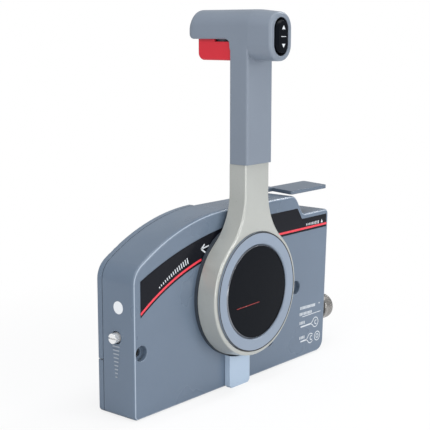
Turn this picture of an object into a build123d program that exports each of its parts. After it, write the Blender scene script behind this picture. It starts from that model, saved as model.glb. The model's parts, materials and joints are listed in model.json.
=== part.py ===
from build123d import *
import math
import os

# Side-mounted remote control box for an outboard engine, lever upright in neutral.
# Lengths are in millimetres and angles in degrees.
# The origin is where the lever's axis meets the mounting plane at the back.
# X runs to the stern end, Y runs back into the panel that the box hangs on, Z runs up.

# Fits that several pieces share
running_gap = 0.05
press_gap = 0.02
slip_gap = 0.3
overrun = 3.0

# Housing outline, measured from its bow end and its bottom
housing_length = 251.8
housing_depth = 39.4
pivot_from_bow = 125.3
pivot_height = 82.0
top_height = 151.1
recess_height = 132.9
rear_lean = 5.7
top_arc_radius = 190.0
top_arc_from_bow = 110.5
step_top_from_bow = 205.8
step_foot_from_bow = 217.6
bow_top_corner = 18.0
step_top_corner = 12.0
step_foot_corner = 6.0
rear_top_corner = 4.5
rear_bottom_corner = 10.0
bow_bottom_corner = 4.0
face_edge_radius = 2.5
wall = 2.5

# Back covers
back_depth = 6.0
back_skin = 3.0
back_edge_radius = 0.8
split_below_pivot = 39.0
split_gap = 1.0
seam_width = 0.7
seam_depth = 1.2
idle_slot_from_bow = 107.0
idle_slot_end_from_bow = 213.3
idle_slot_drop = 14.0
idle_slot_lip = 4.0

# Screw posts inside the front cover, as places from the lever axis
post_radius = 4.0
post_core = 1.3
screw_shank = 1.25
screw_head = 2.9
screw_head_depth = 1.6
upper_posts = [(-108.0, 10.0), (-50.0, 48.0), (108.0, 22.0), (-98.0, -34.0), (98.0, -30.5), (0.0, -32.0)]
lower_posts = [(-104.0, -64.0), (0.0, -50.0)]
screw_grip = 12.0

# Mounting bolts
mount_places = [(-117.3, -29.5), (82.1, -14.9), (43.2, -54.6)]
counterbore_radius = 6.1
bolt_seat = 34.4
bolt_seat_floor = 2.0
counterbore_chamfer = 0.5
sleeve_outer = 4.4
bolt_hole_radius = 3.3
mount_boss_radius = 7.6

# Stiffening ribs behind the face
rib_height = 3.0
rib_width = 1.5
rib_pitch = 26.0

# Main shaft and its bearings
shaft_radius = 8.0
shaft_flat = 6.6
rear_journal = 6.5
bush_wall = 2.0
bearing_wall = 3.0
square_half = 5.5
shaft_front = 50.3
front_bush_front = 41.8
front_bush_back = 30.0
rear_bush_front = 10.0
drive_from = 29.5
drive_to = 11.5

# Drive gear and the two toothed sectors
tooth_module = 2.0
drive_teeth = 16
sector_teeth = 48
sector_cut_teeth = 10
pressure_angle = 20.0
backlash = 0.25
gear_back = 12.0
gear_width = 8.0
friction_below_pivot = 18.5
stud_radius = 5.0
sector_hub = 10.0
hub_front = 30.5
hub_back = 8.5
sector_arm = 38.0
throttle_arm = 44.0
arm_half_width = 4.5
arm_thick = 3.0
throttle_arm_angle = 270.0
shift_arm_angle = 293.0
cable_pin_radius = 2.5
cable_pin_reach = 4.6
cable_pin_head = 3.8
window_inner = 17.0
window_outer = 38.0
window_half_angle = 24.0

# Detent disc with its leaf spring
detent_radius = 22.0
detent_front = 29.0
detent_back = 24.0
detent_notch = 2.6
detent_angle = 32.0
roller_radius = 2.5
leaf_thick = 0.8
leaf_length = 38.0
leaf_eye = 4.0

# Throttle friction brake
drum_radius = 20.0
drum_front = 29.5
drum_back = 21.0
friction_from_mount = 20.4
friction_screw_radius = 3.0
friction_head_radius = 4.0
friction_head_out = 4.6
friction_head_in = 2.4
friction_recess = 5.2
friction_recess_depth = 3.0
friction_boss = 8.0
friction_boss_depth = 11.0
shoe_gap = 1.3
shoe_length = 10.0
shoe_half_height = 9.0
shoe_front = 29.0
shoe_back = 15.5
clip_radius = 4.2
clip_thick = 0.8
slot_width = 1.2
slot_depth = 1.4

# Neutral plate between the box and the lever
neutral_radius = 56.5
neutral_thick = 2.7
neutral_bore = 12.0
notch_ring_inner = 24.0
notch_ring_outer = 28.0
notch_ring_height = 4.4
notch_half_width = 4.6
neutral_screw_ring = 44.0
neutral_screw_angles = [30.0, 150.0, 270.0]
neutral_screw_shank = 1.6
neutral_screw_head = 3.0
neutral_screw_length = 8.0

# Lever casting, depths measured from the mounting plane
boss_back = 42.4
boss_front = 58.6
boss_radius_back = 55.8
boss_radius_front = 53.5
arm_half_back = 16.0
arm_half_front = 15.4
flare_radius = 52.0
arm_top = 106.5
arm_edge_radius = 1.4
ring_seat = 55.3
ring_pocket_radius = 50.3
cap_pocket_radius = 37.0
web_front = 50.5
web_back = 47.5
boss_cavity_radius = 52.0
hub_radius = 15.0
spigot_half_width = 11.0
spigot_front = 57.3
spigot_back = 45.6
spigot_top = 176.0
channel_half_width = 6.5
channel_bottom = 50.0
channel_cover_thick = 1.5
channel_cover_foot = 60.0

# Ring cover, centre cap and the bolt beneath
ring_front = 59.8
ring_outer = 49.8
ring_inner = 39.6
ring_bevel = 1.0
cap_front = 58.9
cap_dome = 0.5
cap_bevel = 0.8
cap_thick = 1.5
cap_radius = 39.2
cap_skirt_outer = 36.0
cap_skirt_inner = 34.0
lever_bolt_radius = 4.0
lever_bolt_tip = 30.0
bolt_head_flat = 6.5
bolt_head_height = 4.0
washer_radius = 11.0
washer_thick = 1.5

# Grip column and cross head
column_half_width = 16.5
column_front = 60.5
column_back = 42.1
column_corner = 1.8
column_inner_corner = 0.8
grip_wall = 2.5
head_top = 229.3
head_near = 81.1
head_far = 4.2
head_low = 189.0
far_low = 206.0
head_half_width = 16.5
near_half_width = 14.2
near_drop = 2.0
head_crown = 13.0
far_dome_length = 9.0
far_dome_height = 12.0
far_low_corner = 7.5
far_low_edge = 2.0
far_plan_corner = 8.0
far_dome_angles = [0, 18, 34, 49, 62, 73, 82]
crown_share = 0.85
low_edge_share = 0.15
near_edge_radius = 2.4
underside_radius = 4.0
guide_outer = 6.5
guide_inner = 4.9
guide_low = 201.6
grip_cover_half_width = 12.6
grip_cover_foot = 112.0
grip_cover_top = 180.0
grip_screw_x = 8.8
grip_screw_heights = [125.0, 165.0]
grip_screw_length = 12.0

# Trim rocker in the near end of the head
rocker_opening_half_width = 9.2
rocker_opening_half_height = 15.1
bezel_wall = 0.9
bezel_depth = 9.0
bezel_sink = 0.5
rocker_half_width = 5.3
rocker_base_half_width = 7.9
rocker_half_height = 13.0
rocker_proud = 2.3
rocker_shoulder = 0.8
rocker_pivot_depth = 6.0
rocker_depth = 7.5
rocker_pin_radius = 1.0
switch_depth = 9.0
terminal_pitch = 7.0
terminal_half_width = 2.4
terminal_length = 5.0

# Neutral lock trigger
trigger_half_width = 11.3
trigger_back = 41.8
trigger_far = 4.6
trigger_low = 189.0
trigger_high = 204.0
trigger_peak = 209.0
trigger_step = 22.5
trigger_corner = 6.0
trigger_edge = 1.5
trigger_wall = 2.2
trigger_travel = 7.0
stem_half_width = 4.0
stem_reach = 48.8
stem_low = 192.0
stem_high = 199.0
rod_half_width = 3.0
rod_front = 48.2
rod_back = 46.4
rod_top = 198.0
lock_block_half_width = 4.0
lock_block_height = 12.0
lock_block_overlap = 4.0
lock_block_back = 42.9
spring_from_mount = 24.0
spring_radius = 4.0
spring_wire = 0.6
spring_turns = 4

# Quick-idle lever at the top rear
idle_pad_thick = 3.2
idle_pad_top_height = 155.6
idle_pad_front = 39.4
idle_pad_back = 8.6
idle_pad_left = 73.4
idle_pad_length = 54.0
idle_pad_skew = 7.5
idle_pad_corner = 2.0
idle_tab_left = 63.5
idle_tab_right = 84.0
idle_tab_front = 14.0
idle_arm_front = 5.7
idle_arm_back = 3.3
idle_arm_half_width = 6.0
idle_arm_angle = 46.0
idle_hub_outer = 18.0
idle_hub_front = 9.6

# Key switch on the stern end
key_from_mount = 23.4
key_above_bottom = 35.7
key_body_radius = 10.5
key_body_length = 30.0
key_neck_radius = 9.0
key_neck_out = 9.0
key_nut_radius = 10.8
key_nut_thick = 4.5
key_bezel_radius = 11.7
key_bezel_end = 22.9
key_barrel_radius = 7.0
key_slot_half_width = 1.0
key_slot_half_length = 4.5
key_slot_depth = 3.0
bezel_edge = 1.5
bezel_dome = 3.5

# Stop switch on the stern end
stop_from_mount = 23.4
stop_above_bottom = 64.7
stop_body_radius = 6.0
stop_body_length = 22.0
stop_neck_radius = 4.6
stop_neck_out = 5.6
stop_collar_radius = 8.5
stop_collar_thick = 5.0
stop_button_radius = 4.8
stop_button_out = 14.3
stop_travel = 4.0

# Black film on the face
decal_thick = 0.4
decal_sink = 0.25
decal_left_from_bow = 7.3
decal_right_from_bow = 253.3
decal_top_height = 138.9
decal_top_arc = 330.0
decal_top_arc_from_bow = 145.0
decal_low_height = 116.9
decal_low_arc = 205.0
decal_low_arc_from_bow = 124.0
decal_step_top_from_bow = 208.1
decal_step_foot_from_bow = 215.2
decal_step_height = 128.6

# Cover of the trim lead below the boss
lead_cover_left = 17.8
lead_cover_right = 8.8
lead_cover_proud = 5.2
lead_cover_below = 0.4
lead_cover_top = 46.0
lead_cover_chamfer = 2.4
lead_cover_wall = 1.5
lead_gap = 1.1
lead_hole_length = 8.0
lead_hole_width = 2.0
lead_grommet_wall = 0.5

# Cable ports on the stern end and the clamp behind them
port_below_pivot = 68.0
port_depths = [8.0, 21.0]
port_hole = 5.6
cable_radius = 4.6
grommet_flange = 6.3
grommet_flange_thick = 1.5
clamp_from = 98.0
clamp_to = 110.0
clamp_front = 27.5
clamp_back = 3.2
clamp_gap = 0.6
clamp_top = 62.2
strap_screw_from_mount = 14.5
strap_screw_radius = 1.5

# Places that follow from the sizes above
bow_x = -pivot_from_bow
stern_x = bow_x + housing_length
bottom_z = -pivot_height
top_z = top_height - pivot_height
recess_z = recess_height - pivot_height
face_y = -housing_depth
inner_face_y = face_y + wall
parting_y = -back_depth
skin_y = -back_skin
split_z = -split_below_pivot
lean_angle = math.degrees(math.atan(rear_lean / recess_height))
centre_distance = tooth_module * (drive_teeth + sector_teeth) / 2
sector_z = -friction_below_pivot
sector_x = math.sqrt(centre_distance ** 2 - friction_below_pivot ** 2)
throttle_centre = (-sector_x, sector_z)
shift_centre = (sector_x, sector_z)
bush_outer = shaft_radius + running_gap + bush_wall
rear_bush_outer = rear_journal + running_gap + bush_wall
bearing_outer = bush_outer + bearing_wall
lock_tip_z = notch_ring_outer + running_gap + slip_gap
sleeve_front = bolt_seat - bolt_seat_floor
near_top = head_top - near_drop
rocker_z = (near_top + head_low) / 2


def at_depth(y):
    # A drawing plane at the given Y: it is drawn in X and Z and faces the front
    return Plane.XZ.offset(-y)


def slab(sketch, y_front, y_back):
    return extrude(at_depth(y_back) * sketch, amount=y_back - y_front)


def rod(radius, x, z, y_front, y_back):
    return slab(Pos(x, z) * Circle(radius), y_front, y_back)


def tube(outer, inner, x, z, y_front, y_back):
    return slab(Pos(x, z) * (Circle(outer) - Circle(inner)), y_front, y_back)


def block(x_low, x_high, y_low, y_high, z_low, z_high):
    size = Box(x_high - x_low, y_high - y_low, z_high - z_low)
    return Pos((x_low + x_high) / 2, (y_low + y_high) / 2, (z_low + z_high) / 2) * size


def rod_along_x(radius, y, z, x_low, x_high):
    plane = Plane(origin=(x_low, y, z), x_dir=(0, 1, 0), z_dir=(1, 0, 0))
    return extrude(plane * Circle(radius), amount=x_high - x_low)


def nearest(shapes, x, y):
    return min(shapes, key=lambda item: (Vector(x, y, 0) - item.center()).length)


def around(radius, angle):
    turn = math.radians(angle)
    return radius * math.cos(turn), radius * math.sin(turn)


def arc_between(centre_x, centre_z, radius, x_from, x_to):
    # The upper arc of a circle from one X to another
    def height(x):
        return centre_z + math.sqrt(radius ** 2 - (x - centre_x) ** 2)
    x_middle = (x_from + x_to) / 2
    return ThreePointArc((x_from, height(x_from)), (x_middle, height(x_middle)), (x_to, height(x_to)))


def stern_wall_x(z):
    return stern_x + rear_lean * (z - bottom_z) / recess_height


def stern_rod(radius, y, z, inward, outward):
    # A cylinder square to the leaning stern wall, from a depth inside to a height outside
    lean = math.radians(lean_angle)
    direction = Vector(math.cos(lean), 0, -math.sin(lean))
    start = Vector(stern_wall_x(z), y, z) + direction * inward
    plane = Plane(origin=start, x_dir=(0, 1, 0), z_dir=direction)
    return extrude(plane * Circle(radius), amount=outward - inward)


# Outline of the housing, seen from the front
def housing_outline():
    arc_x = bow_x + top_arc_from_bow
    arc = arc_between(arc_x, top_z - top_arc_radius, top_arc_radius, bow_x, arc_x)
    bow_top = arc.position_at(0)
    step_top = (bow_x + step_top_from_bow, top_z)
    step_foot = (bow_x + step_foot_from_bow, recess_z)
    rear_top = (stern_wall_x(recess_z), recess_z)
    edges = [
        Line((bow_x, bottom_z), bow_top),
        arc,
        Line((arc_x, top_z), step_top),
        Line(step_top, step_foot),
        Line(step_foot, rear_top),
        Line(rear_top, (stern_x, bottom_z)),
        Line((stern_x, bottom_z), (bow_x, bottom_z)),
    ]
    outline = make_face(edges)
    corners = [
        ((bow_top.X, bow_top.Y), bow_top_corner),
        (step_top, step_top_corner),
        (step_foot, step_foot_corner),
        (rear_top, rear_top_corner),
        ((stern_x, bottom_z), rear_bottom_corner),
        ((bow_x, bottom_z), bow_bottom_corner),
    ]
    for place, radius in corners:
        outline = fillet(nearest(outline.vertices(), *place), radius)
    return outline


outline = housing_outline()
inner_outline = offset(outline, amount=-wall)


def cable_port_cut(y):
    return stern_rod(port_hole, y, -port_below_pivot, -wall - overrun, overrun)


# Front cover
def mount_bores(y_front, y_back):
    sleeve_hole = sleeve_outer + press_gap
    return [rod(sleeve_hole, x, z, y_front, y_back) for x, z in mount_places]


def decal_outline():
    left = bow_x + decal_left_from_bow
    right = bow_x + decal_right_from_bow
    top_arc_x = bow_x + decal_top_arc_from_bow
    low_arc_x = bow_x + decal_low_arc_from_bow
    high = decal_top_height - pivot_height
    low = decal_low_height - pivot_height
    step_height = decal_step_height - pivot_height
    step_top = (bow_x + decal_step_top_from_bow, high)
    step_foot = (bow_x + decal_step_foot_from_bow, step_height)
    top_arc = arc_between(top_arc_x, high - decal_top_arc, decal_top_arc, left, top_arc_x)
    low_arc = arc_between(low_arc_x, low - decal_low_arc, decal_low_arc, left, low_arc_x)
    edges = [
        Line(low_arc.position_at(0), top_arc.position_at(0)),
        top_arc,
        Line((top_arc_x, high), step_top),
        Line(step_top, step_foot),
        Line(step_foot, (right, step_height)),
        Line((right, step_height), (right, low)),
        Line((right, low), (low_arc_x, low)),
        low_arc,
    ]
    return make_face(edges) - Circle(neutral_radius + slip_gap)


def front_cover():
    shell = slab(outline, face_y, parting_y)
    shell = fillet(shell.faces().sort_by(Axis.Y)[0].edges(), face_edge_radius)
    solid_block = shell
    shell -= slab(inner_outline, inner_face_y, parting_y + overrun)
    shell += tube(bearing_outer, bush_outer + press_gap, 0, 0, inner_face_y, -front_bush_back)
    for x, z in upper_posts + lower_posts:
        shell += rod(post_radius, x, z, inner_face_y, parting_y)
    for x, z in mount_places:
        shell += rod(mount_boss_radius, x, z, inner_face_y, parting_y) & solid_block
    shell += face_ribs()
    for centre in (throttle_centre, shift_centre):
        shell += rod(sector_hub - running_gap, centre[0], centre[1], inner_face_y, -hub_front - slip_gap)
    shell += friction_bearing()
    shell += rod(leaf_eye, -leaf_length, detent_leaf_z(), inner_face_y, -detent_front)
    # holes
    shell -= rod(bush_outer + press_gap, 0, 0, face_y - overrun, -front_bush_back + overrun)
    for x, z in upper_posts + lower_posts:
        shell -= rod(post_core, x, z, parting_y - screw_grip, parting_y + overrun)
    for x, z in mount_places:
        shell -= rod(counterbore_radius, x, z, face_y - overrun, -bolt_seat)
        mouth = at_depth(face_y + counterbore_chamfer) * (Pos(x, z) * Circle(counterbore_radius))
        shell -= extrude(mouth, amount=overrun, taper=-45)
        shell -= rod(bolt_hole_radius, x, z, -bolt_seat - overrun, -sleeve_front)
    for hole in mount_bores(-sleeve_front, parting_y + overrun):
        shell -= hole
    for centre in (throttle_centre, shift_centre):
        shell -= rod(stud_radius + press_gap, centre[0], centre[1], inner_face_y, -hub_front + overrun)
    shell -= rod(post_core, -leaf_length, detent_leaf_z(), inner_face_y, -detent_front + overrun)
    shell -= slab(decal_outline(), face_y, face_y + decal_sink)
    for angle in neutral_screw_angles:
        x, z = around(neutral_screw_ring, angle)
        shell -= rod(neutral_screw_shank + press_gap, x, z, face_y - overrun, inner_face_y + overrun)
    bow_recess_x = bow_x + friction_recess_depth
    friction_y = -friction_from_mount
    shell -= rod_along_x(friction_recess, friction_y, sector_z, bow_x - overrun, bow_recess_x)
    hole_radius = friction_screw_radius + running_gap
    boss_end = bow_x + friction_boss_depth + overrun
    shell -= rod_along_x(hole_radius, friction_y, sector_z, bow_x - overrun, boss_end)
    key_hole = key_neck_radius + running_gap
    shell -= stern_rod(key_hole, -key_from_mount, bottom_z + key_above_bottom, -wall - overrun, overrun)
    stop_hole = stop_neck_radius + running_gap
    shell -= stern_rod(stop_hole, -stop_from_mount, bottom_z + stop_above_bottom, -wall - overrun, overrun)
    for depth in port_depths:
        shell -= cable_port_cut(-depth)
    return shell


def face_ribs():
    # Upright and level ribs in the upper part of the face, clear of the mechanism
    ribs = Part()
    back = inner_face_y + rib_height
    room = slab(inner_outline, inner_face_y, back)
    count = int(pivot_from_bow / rib_pitch)
    for side in (-1, 1):
        for index in range(1, count + 1):
            x = side * index * rib_pitch
            ribs += block(x - rib_width / 2, x + rib_width / 2, inner_face_y, back, bottom_z, top_z)
    for z in (bottom_z + rib_pitch, rib_pitch):
        ribs += block(bow_x, stern_wall_x(z), inner_face_y, back, z - rib_width / 2, z + rib_width / 2)
    keep_out = rod(bush_outer + press_gap, 0, 0, inner_face_y, back)
    return (ribs & room) - keep_out


def friction_bearing():
    boss = rod_along_x(friction_boss, -friction_from_mount, sector_z, bow_x + wall,
                       bow_x + friction_boss_depth)
    guides = Part()
    shoe_x = shoe_face_x() - shoe_length
    for side in (-1, 1):
        inner = sector_z + side * (shoe_half_height + slip_gap)
        outer = inner + side * bearing_wall
        low, high = sorted((inner, outer))
        guides += block(shoe_x, shoe_x + shoe_length - shoe_gap, inner_face_y, -shoe_back, low, high)
    return boss + guides


# Back covers
def back_shell():
    shell = slab(outline, parting_y, 0)
    shell = fillet(shell.faces().sort_by(Axis.Y)[-1].edges(), back_edge_radius)
    seam = slab(outline - offset(outline, amount=-seam_depth), parting_y, parting_y + seam_width)
    return shell - slab(inner_outline, parting_y - overrun, skin_y) - seam


def screw_holes(places):
    holes = Part()
    for x, z in places:
        holes += rod(screw_shank + slip_gap, x, z, parting_y - overrun, overrun)
        holes += rod(screw_head + slip_gap, x, z, -screw_head_depth, overrun)
    return holes


def back_plate():
    far = housing_length + rear_lean
    upper = block(bow_x - overrun, far, parting_y - overrun, overrun, split_z + split_gap / 2,
                  top_z + overrun)
    plate = back_shell() & upper
    plate += tube(rear_bush_outer + bearing_wall, rear_bush_outer + press_gap, 0, 0, -rear_bush_front, skin_y)
    for x, z in upper_posts:
        plate += rod(post_radius, x, z, parting_y, skin_y)
    for x, z in mount_places[:2]:
        plate += rod(mount_boss_radius, x, z, parting_y, skin_y) & slab(outline, parting_y, skin_y)
    for centre in (throttle_centre, shift_centre):
        boss_front_y = -hub_back + slip_gap
        plate += tube(sector_hub - running_gap, stud_radius + press_gap, centre[0], centre[1],
                      boss_front_y, skin_y)
    plate -= screw_holes(upper_posts)
    for hole in mount_bores(parting_y - overrun, overrun):
        plate -= hole
    slot_left = bow_x + idle_slot_from_bow
    slot_right = bow_x + idle_slot_end_from_bow
    plate -= block(slot_left, slot_right, parting_y - overrun, skin_y, top_z - idle_slot_drop,
                   top_z + overrun)
    plate -= block(slot_left, slot_right, skin_y - overrun, overrun, top_z - idle_slot_lip, top_z + overrun)
    return plate


def lower_back_cover():
    far = housing_length + rear_lean
    lower = block(bow_x - overrun, far, parting_y - overrun, overrun, bottom_z - overrun,
                  split_z - split_gap / 2)
    cover = back_shell() & lower
    for x, z in lower_posts:
        cover += rod(post_radius, x, z, parting_y, skin_y)
    x, z = mount_places[2]
    cover += rod(mount_boss_radius, x, z, parting_y, skin_y)
    cover -= screw_holes(lower_posts)
    cover -= mount_bores(parting_y - overrun, overrun)[2]
    cover -= cable_port_cut(-port_depths[0])
    return cover


def cover_screws(places):
    screws = Part()
    for x, z in places:
        shank = rod(screw_shank, x, z, parting_y - screw_grip + slip_gap, -screw_head_depth)
        head = rod(screw_head, x, z, -screw_head_depth, 0)
        cross = block(x - screw_head / 2, x + screw_head / 2, -screw_head_depth / 2, overrun,
                      z - slot_width / 4, z + slot_width / 4)
        turned = block(x - slot_width / 4, x + slot_width / 4, -screw_head_depth / 2, overrun,
                       z - screw_head / 2, z + screw_head / 2)
        screws += shank + (head - cross - turned)
    return screws


def mounting_sleeves():
    sleeves = Part()
    for x, z in mount_places:
        sleeves += tube(sleeve_outer, bolt_hole_radius, x, z, -sleeve_front, 0)
    return sleeves


# Main shaft, bearings and what turns on it
def double_flat(radius, flat):
    return Circle(radius) & Rectangle(4 * radius, 2 * flat)


def main_shaft():
    shaft = slab(Rectangle(2 * square_half, 2 * square_half), -shaft_front, -boss_back)
    shaft += rod(shaft_radius, 0, 0, -boss_back, -drive_from)
    shaft += slab(double_flat(shaft_radius, shaft_flat), -drive_from, -drive_to)
    shaft += rod(rear_journal, 0, 0, -drive_to, skin_y - slip_gap)
    shaft -= rod(lever_bolt_radius + running_gap, 0, 0, -shaft_front - overrun, -lever_bolt_tip)
    return shaft


def front_bush():
    return tube(bush_outer, shaft_radius + running_gap, 0, 0, -front_bush_front, -front_bush_back)


def rear_bush():
    return tube(rear_bush_outer, rear_journal + running_gap, 0, 0, -rear_bush_front, skin_y)


def shaft_washer():
    return tube(sector_hub, rear_journal + running_gap, 0, 0, -drive_to, -rear_bush_front - slip_gap)


def tooth_half_angle(teeth, radius):
    # Half the angle that a tooth takes up at a radius, for involute flanks
    pitch_radius = tooth_module * teeth / 2
    base_radius = pitch_radius * math.cos(math.radians(pressure_angle))

    def involute(at_radius):
        roll = math.acos(min(1, base_radius / at_radius))
        return math.tan(roll) - roll
    at_pitch = math.pi / (2 * teeth) - backlash / (4 * pitch_radius)
    return at_pitch + involute(pitch_radius) - involute(max(radius, base_radius))


def tooth_outline(teeth, centre_angle):
    pitch_radius = tooth_module * teeth / 2
    base_radius = pitch_radius * math.cos(math.radians(pressure_angle))
    tip_radius = pitch_radius + tooth_module
    root_radius = root_radius_of(teeth)
    flank_start = max(base_radius, root_radius)
    buried = root_radius - tooth_module / 2
    middle = (flank_start + tip_radius) / 2
    centre = math.radians(centre_angle)

    def spot(radius, side):
        turn = centre + side * tooth_half_angle(teeth, radius)
        return radius * math.cos(turn), radius * math.sin(turn)

    def deep(side):
        turn = centre + side * tooth_half_angle(teeth, flank_start)
        return buried * math.cos(turn), buried * math.sin(turn)
    edges = [
        Line(deep(-1), spot(flank_start, -1)),
        ThreePointArc(spot(flank_start, -1), spot(middle, -1), spot(tip_radius, -1)),
        Line(spot(tip_radius, -1), spot(tip_radius, 1)),
        ThreePointArc(spot(tip_radius, 1), spot(middle, 1), spot(flank_start, 1)),
        Line(spot(flank_start, 1), deep(1)),
        Line(deep(1), deep(-1)),
    ]
    return make_face(edges)


def root_radius_of(teeth):
    dedendum_share = 1.25
    return tooth_module * teeth / 2 - dedendum_share * tooth_module


def drive_gear():
    first = math.degrees(math.atan2(sector_z, -sector_x))
    profile = Circle(root_radius_of(drive_teeth))
    for index in range(drive_teeth):
        profile += tooth_outline(drive_teeth, first + index * 360 / drive_teeth)
    profile -= double_flat(shaft_radius + running_gap, shaft_flat + running_gap)
    return slab(profile, -gear_back - gear_width, -gear_back)


def pie(radius, middle_angle, half_angle):
    start = around(radius, middle_angle - half_angle)
    middle = around(radius, middle_angle)
    end = around(radius, middle_angle + half_angle)
    return make_face([Line((0, 0), start), ThreePointArc(start, middle, end), Line(end, (0, 0))])


def toothed_sector(centre):
    # The sector's gap meets the drive gear's tooth on the line between their axes
    x, z = centre
    away = math.degrees(math.atan2(z, x))
    back = away + 180
    first = math.degrees(math.atan2(sector_z, -sector_x))
    step = 360 / drive_teeth
    offset_angle = (first - away) % step
    gap_angle = back - offset_angle * drive_teeth / sector_teeth
    sector_step = 360 / sector_teeth
    half = sector_cut_teeth / 2 * sector_step
    profile = pie(root_radius_of(sector_teeth), gap_angle, half)
    for index in range(sector_cut_teeth):
        place = gap_angle + (index - sector_cut_teeth / 2) * sector_step + sector_step / 2
        profile += tooth_outline(sector_teeth, place)
    window = pie(window_outer, gap_angle, window_half_angle) - Circle(window_inner)
    profile = profile - window + Circle(sector_hub)
    toothed = slab(Pos(x, z) * profile, -gear_back - gear_width, -gear_back)
    return toothed + rod(sector_hub, x, z, -hub_front, -hub_back)


def sector_lever(centre, length, angle, y_front, y_back):
    x, z = centre
    tip_x, tip_z = around(length, angle)
    link = Pos(tip_x / 2, tip_z / 2) * Rot(0, 0, angle) * Rectangle(length, 2 * arm_half_width)
    profile = link + Circle(sector_hub) + Pos(tip_x, tip_z) * Circle(arm_half_width)
    profile -= Pos(tip_x, tip_z) * Circle(cable_pin_radius + press_gap)
    return slab(Pos(x, z) * profile, y_front, y_back)


def bore_for_stud(piece, centre):
    hole = rod(stud_radius + running_gap, centre[0], centre[1], -hub_front - overrun, -hub_back + overrun)
    return piece - hole


def throttle_sector():
    x, z = throttle_centre
    piece = toothed_sector(throttle_centre)
    piece += rod(drum_radius, x, z, -drum_front, -drum_back)
    piece += sector_lever(throttle_centre, throttle_arm, throttle_arm_angle, -gear_back,
                          -gear_back + arm_thick)
    return bore_for_stud(piece, throttle_centre)


def shift_sector():
    arm_back = -gear_back - gear_width
    piece = toothed_sector(shift_centre)
    piece += sector_lever(shift_centre, sector_arm, shift_arm_angle, arm_back - arm_thick, arm_back)
    return bore_for_stud(piece, shift_centre)


def cable_pin(centre, length, angle, y_front, y_back):
    # A riveted pin with its flat head behind the arm and its neck towards the cable
    tip_x, tip_z = around(length, angle)
    x = centre[0] + tip_x
    z = centre[1] + tip_z
    return rod(cable_pin_radius, x, z, y_front, y_back) + rod(cable_pin_head, x, z, y_back,
                                                              y_back + slot_width)


def throttle_cable_pin():
    arm_back = -gear_back + arm_thick
    return cable_pin(throttle_centre, throttle_arm, throttle_arm_angle, -gear_back - cable_pin_reach,
                     arm_back)


def shift_cable_pin():
    arm_back = -gear_back - gear_width
    front = arm_back - arm_thick - cable_pin_reach
    return cable_pin(shift_centre, sector_arm, shift_arm_angle, front, arm_back)


def sector_studs():
    studs = Part()
    for x, z in (throttle_centre, shift_centre):
        studs += rod(stud_radius, x, z, inner_face_y, skin_y)
    return studs


def detent_disc():
    profile = Circle(detent_radius)
    for angle in (90 - detent_angle, 90, 90 + detent_angle):
        profile -= Pos(*around(detent_radius + detent_notch / 2, angle)) * Circle(detent_notch)
    profile -= double_flat(shaft_radius + running_gap, shaft_flat + running_gap)
    disc = slab(profile, -detent_front, -detent_back)
    collar = tube(sector_hub, shaft_radius + running_gap, 0, 0, -detent_back, -gear_back - gear_width)
    return disc + collar


def detent_leaf_z():
    return detent_radius + slip_gap + 2 * roller_radius


def detent_spring():
    z = detent_leaf_z()
    roller = rod(roller_radius, 0, detent_radius + slip_gap + roller_radius, -detent_front + slip_gap,
                 -detent_back)
    leaf = block(-leaf_length, roller_radius, -detent_front, -detent_back, z - leaf_thick / 2,
                 z + leaf_thick / 2)
    eye = rod(leaf_eye, -leaf_length, z, -detent_front, -detent_back)
    eye -= rod(post_core, -leaf_length, z, -detent_front - overrun, -detent_back + overrun)
    leaf -= rod(leaf_eye, -leaf_length, z, -detent_front - overrun, -detent_back + overrun)
    return leaf + eye + roller


def detent_screw():
    z = detent_leaf_z()
    shank = rod(screw_shank, -leaf_length, z, -detent_front - post_radius, -detent_back)
    return shank + rod(screw_head, -leaf_length, z, -detent_back, -detent_back + screw_head_depth)


# Throttle friction brake at the bow end
def shoe_face_x():
    return throttle_centre[0] - drum_radius - shoe_gap


def friction_screw():
    y = -friction_from_mount
    shoulder = bow_x + friction_head_in
    tip = shoe_face_x() - shoe_gap - slip_gap
    screw = rod_along_x(friction_head_radius, y, sector_z, bow_x - friction_head_out, shoulder)
    screw += rod_along_x(friction_screw_radius, y, sector_z, shoulder, tip)
    reach = friction_head_radius + overrun
    slot = block(bow_x - friction_head_out - overrun, bow_x - friction_head_out + slot_depth,
                 y - reach, y + reach, sector_z - slot_width / 2, sector_z + slot_width / 2)
    return screw - slot


def friction_clip():
    low = bow_x + friction_boss_depth + slip_gap
    ring = rod_along_x(clip_radius, -friction_from_mount, sector_z, low, low + clip_thick)
    hole = rod_along_x(friction_screw_radius, -friction_from_mount, sector_z, low - overrun, low + overrun)
    return ring - hole


def friction_shoe():
    face = shoe_face_x()
    tail = face - shoe_length
    shoe = block(tail, face + shoe_gap, -shoe_front, -shoe_back,
                 sector_z - shoe_half_height, sector_z + shoe_half_height)
    hollow = drum_radius + shoe_gap
    shoe -= rod(hollow, throttle_centre[0], sector_z, -shoe_front - overrun, -shoe_back + overrun)
    bore = rod_along_x(friction_screw_radius + running_gap, -friction_from_mount, sector_z,
                       tail - overrun, face - shoe_gap)
    return shoe - bore


# Neutral plate
def neutral_plate():
    front = face_y - neutral_thick
    plate = tube(neutral_radius, neutral_bore, 0, 0, front, face_y)
    ring = tube(notch_ring_outer, notch_ring_inner, 0, 0, front - notch_ring_height, front)
    ring -= block(-notch_half_width, notch_half_width, front - 2 * notch_ring_height, front,
                  0, notch_ring_outer + overrun)
    plate += ring
    for angle in neutral_screw_angles:
        x, z = around(neutral_screw_ring, angle)
        plate -= rod(neutral_screw_shank + press_gap, x, z, front - overrun, face_y + overrun)
        plate -= rod(neutral_screw_head + press_gap, x, z, front - overrun, front + neutral_thick / 2)
    return plate


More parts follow.
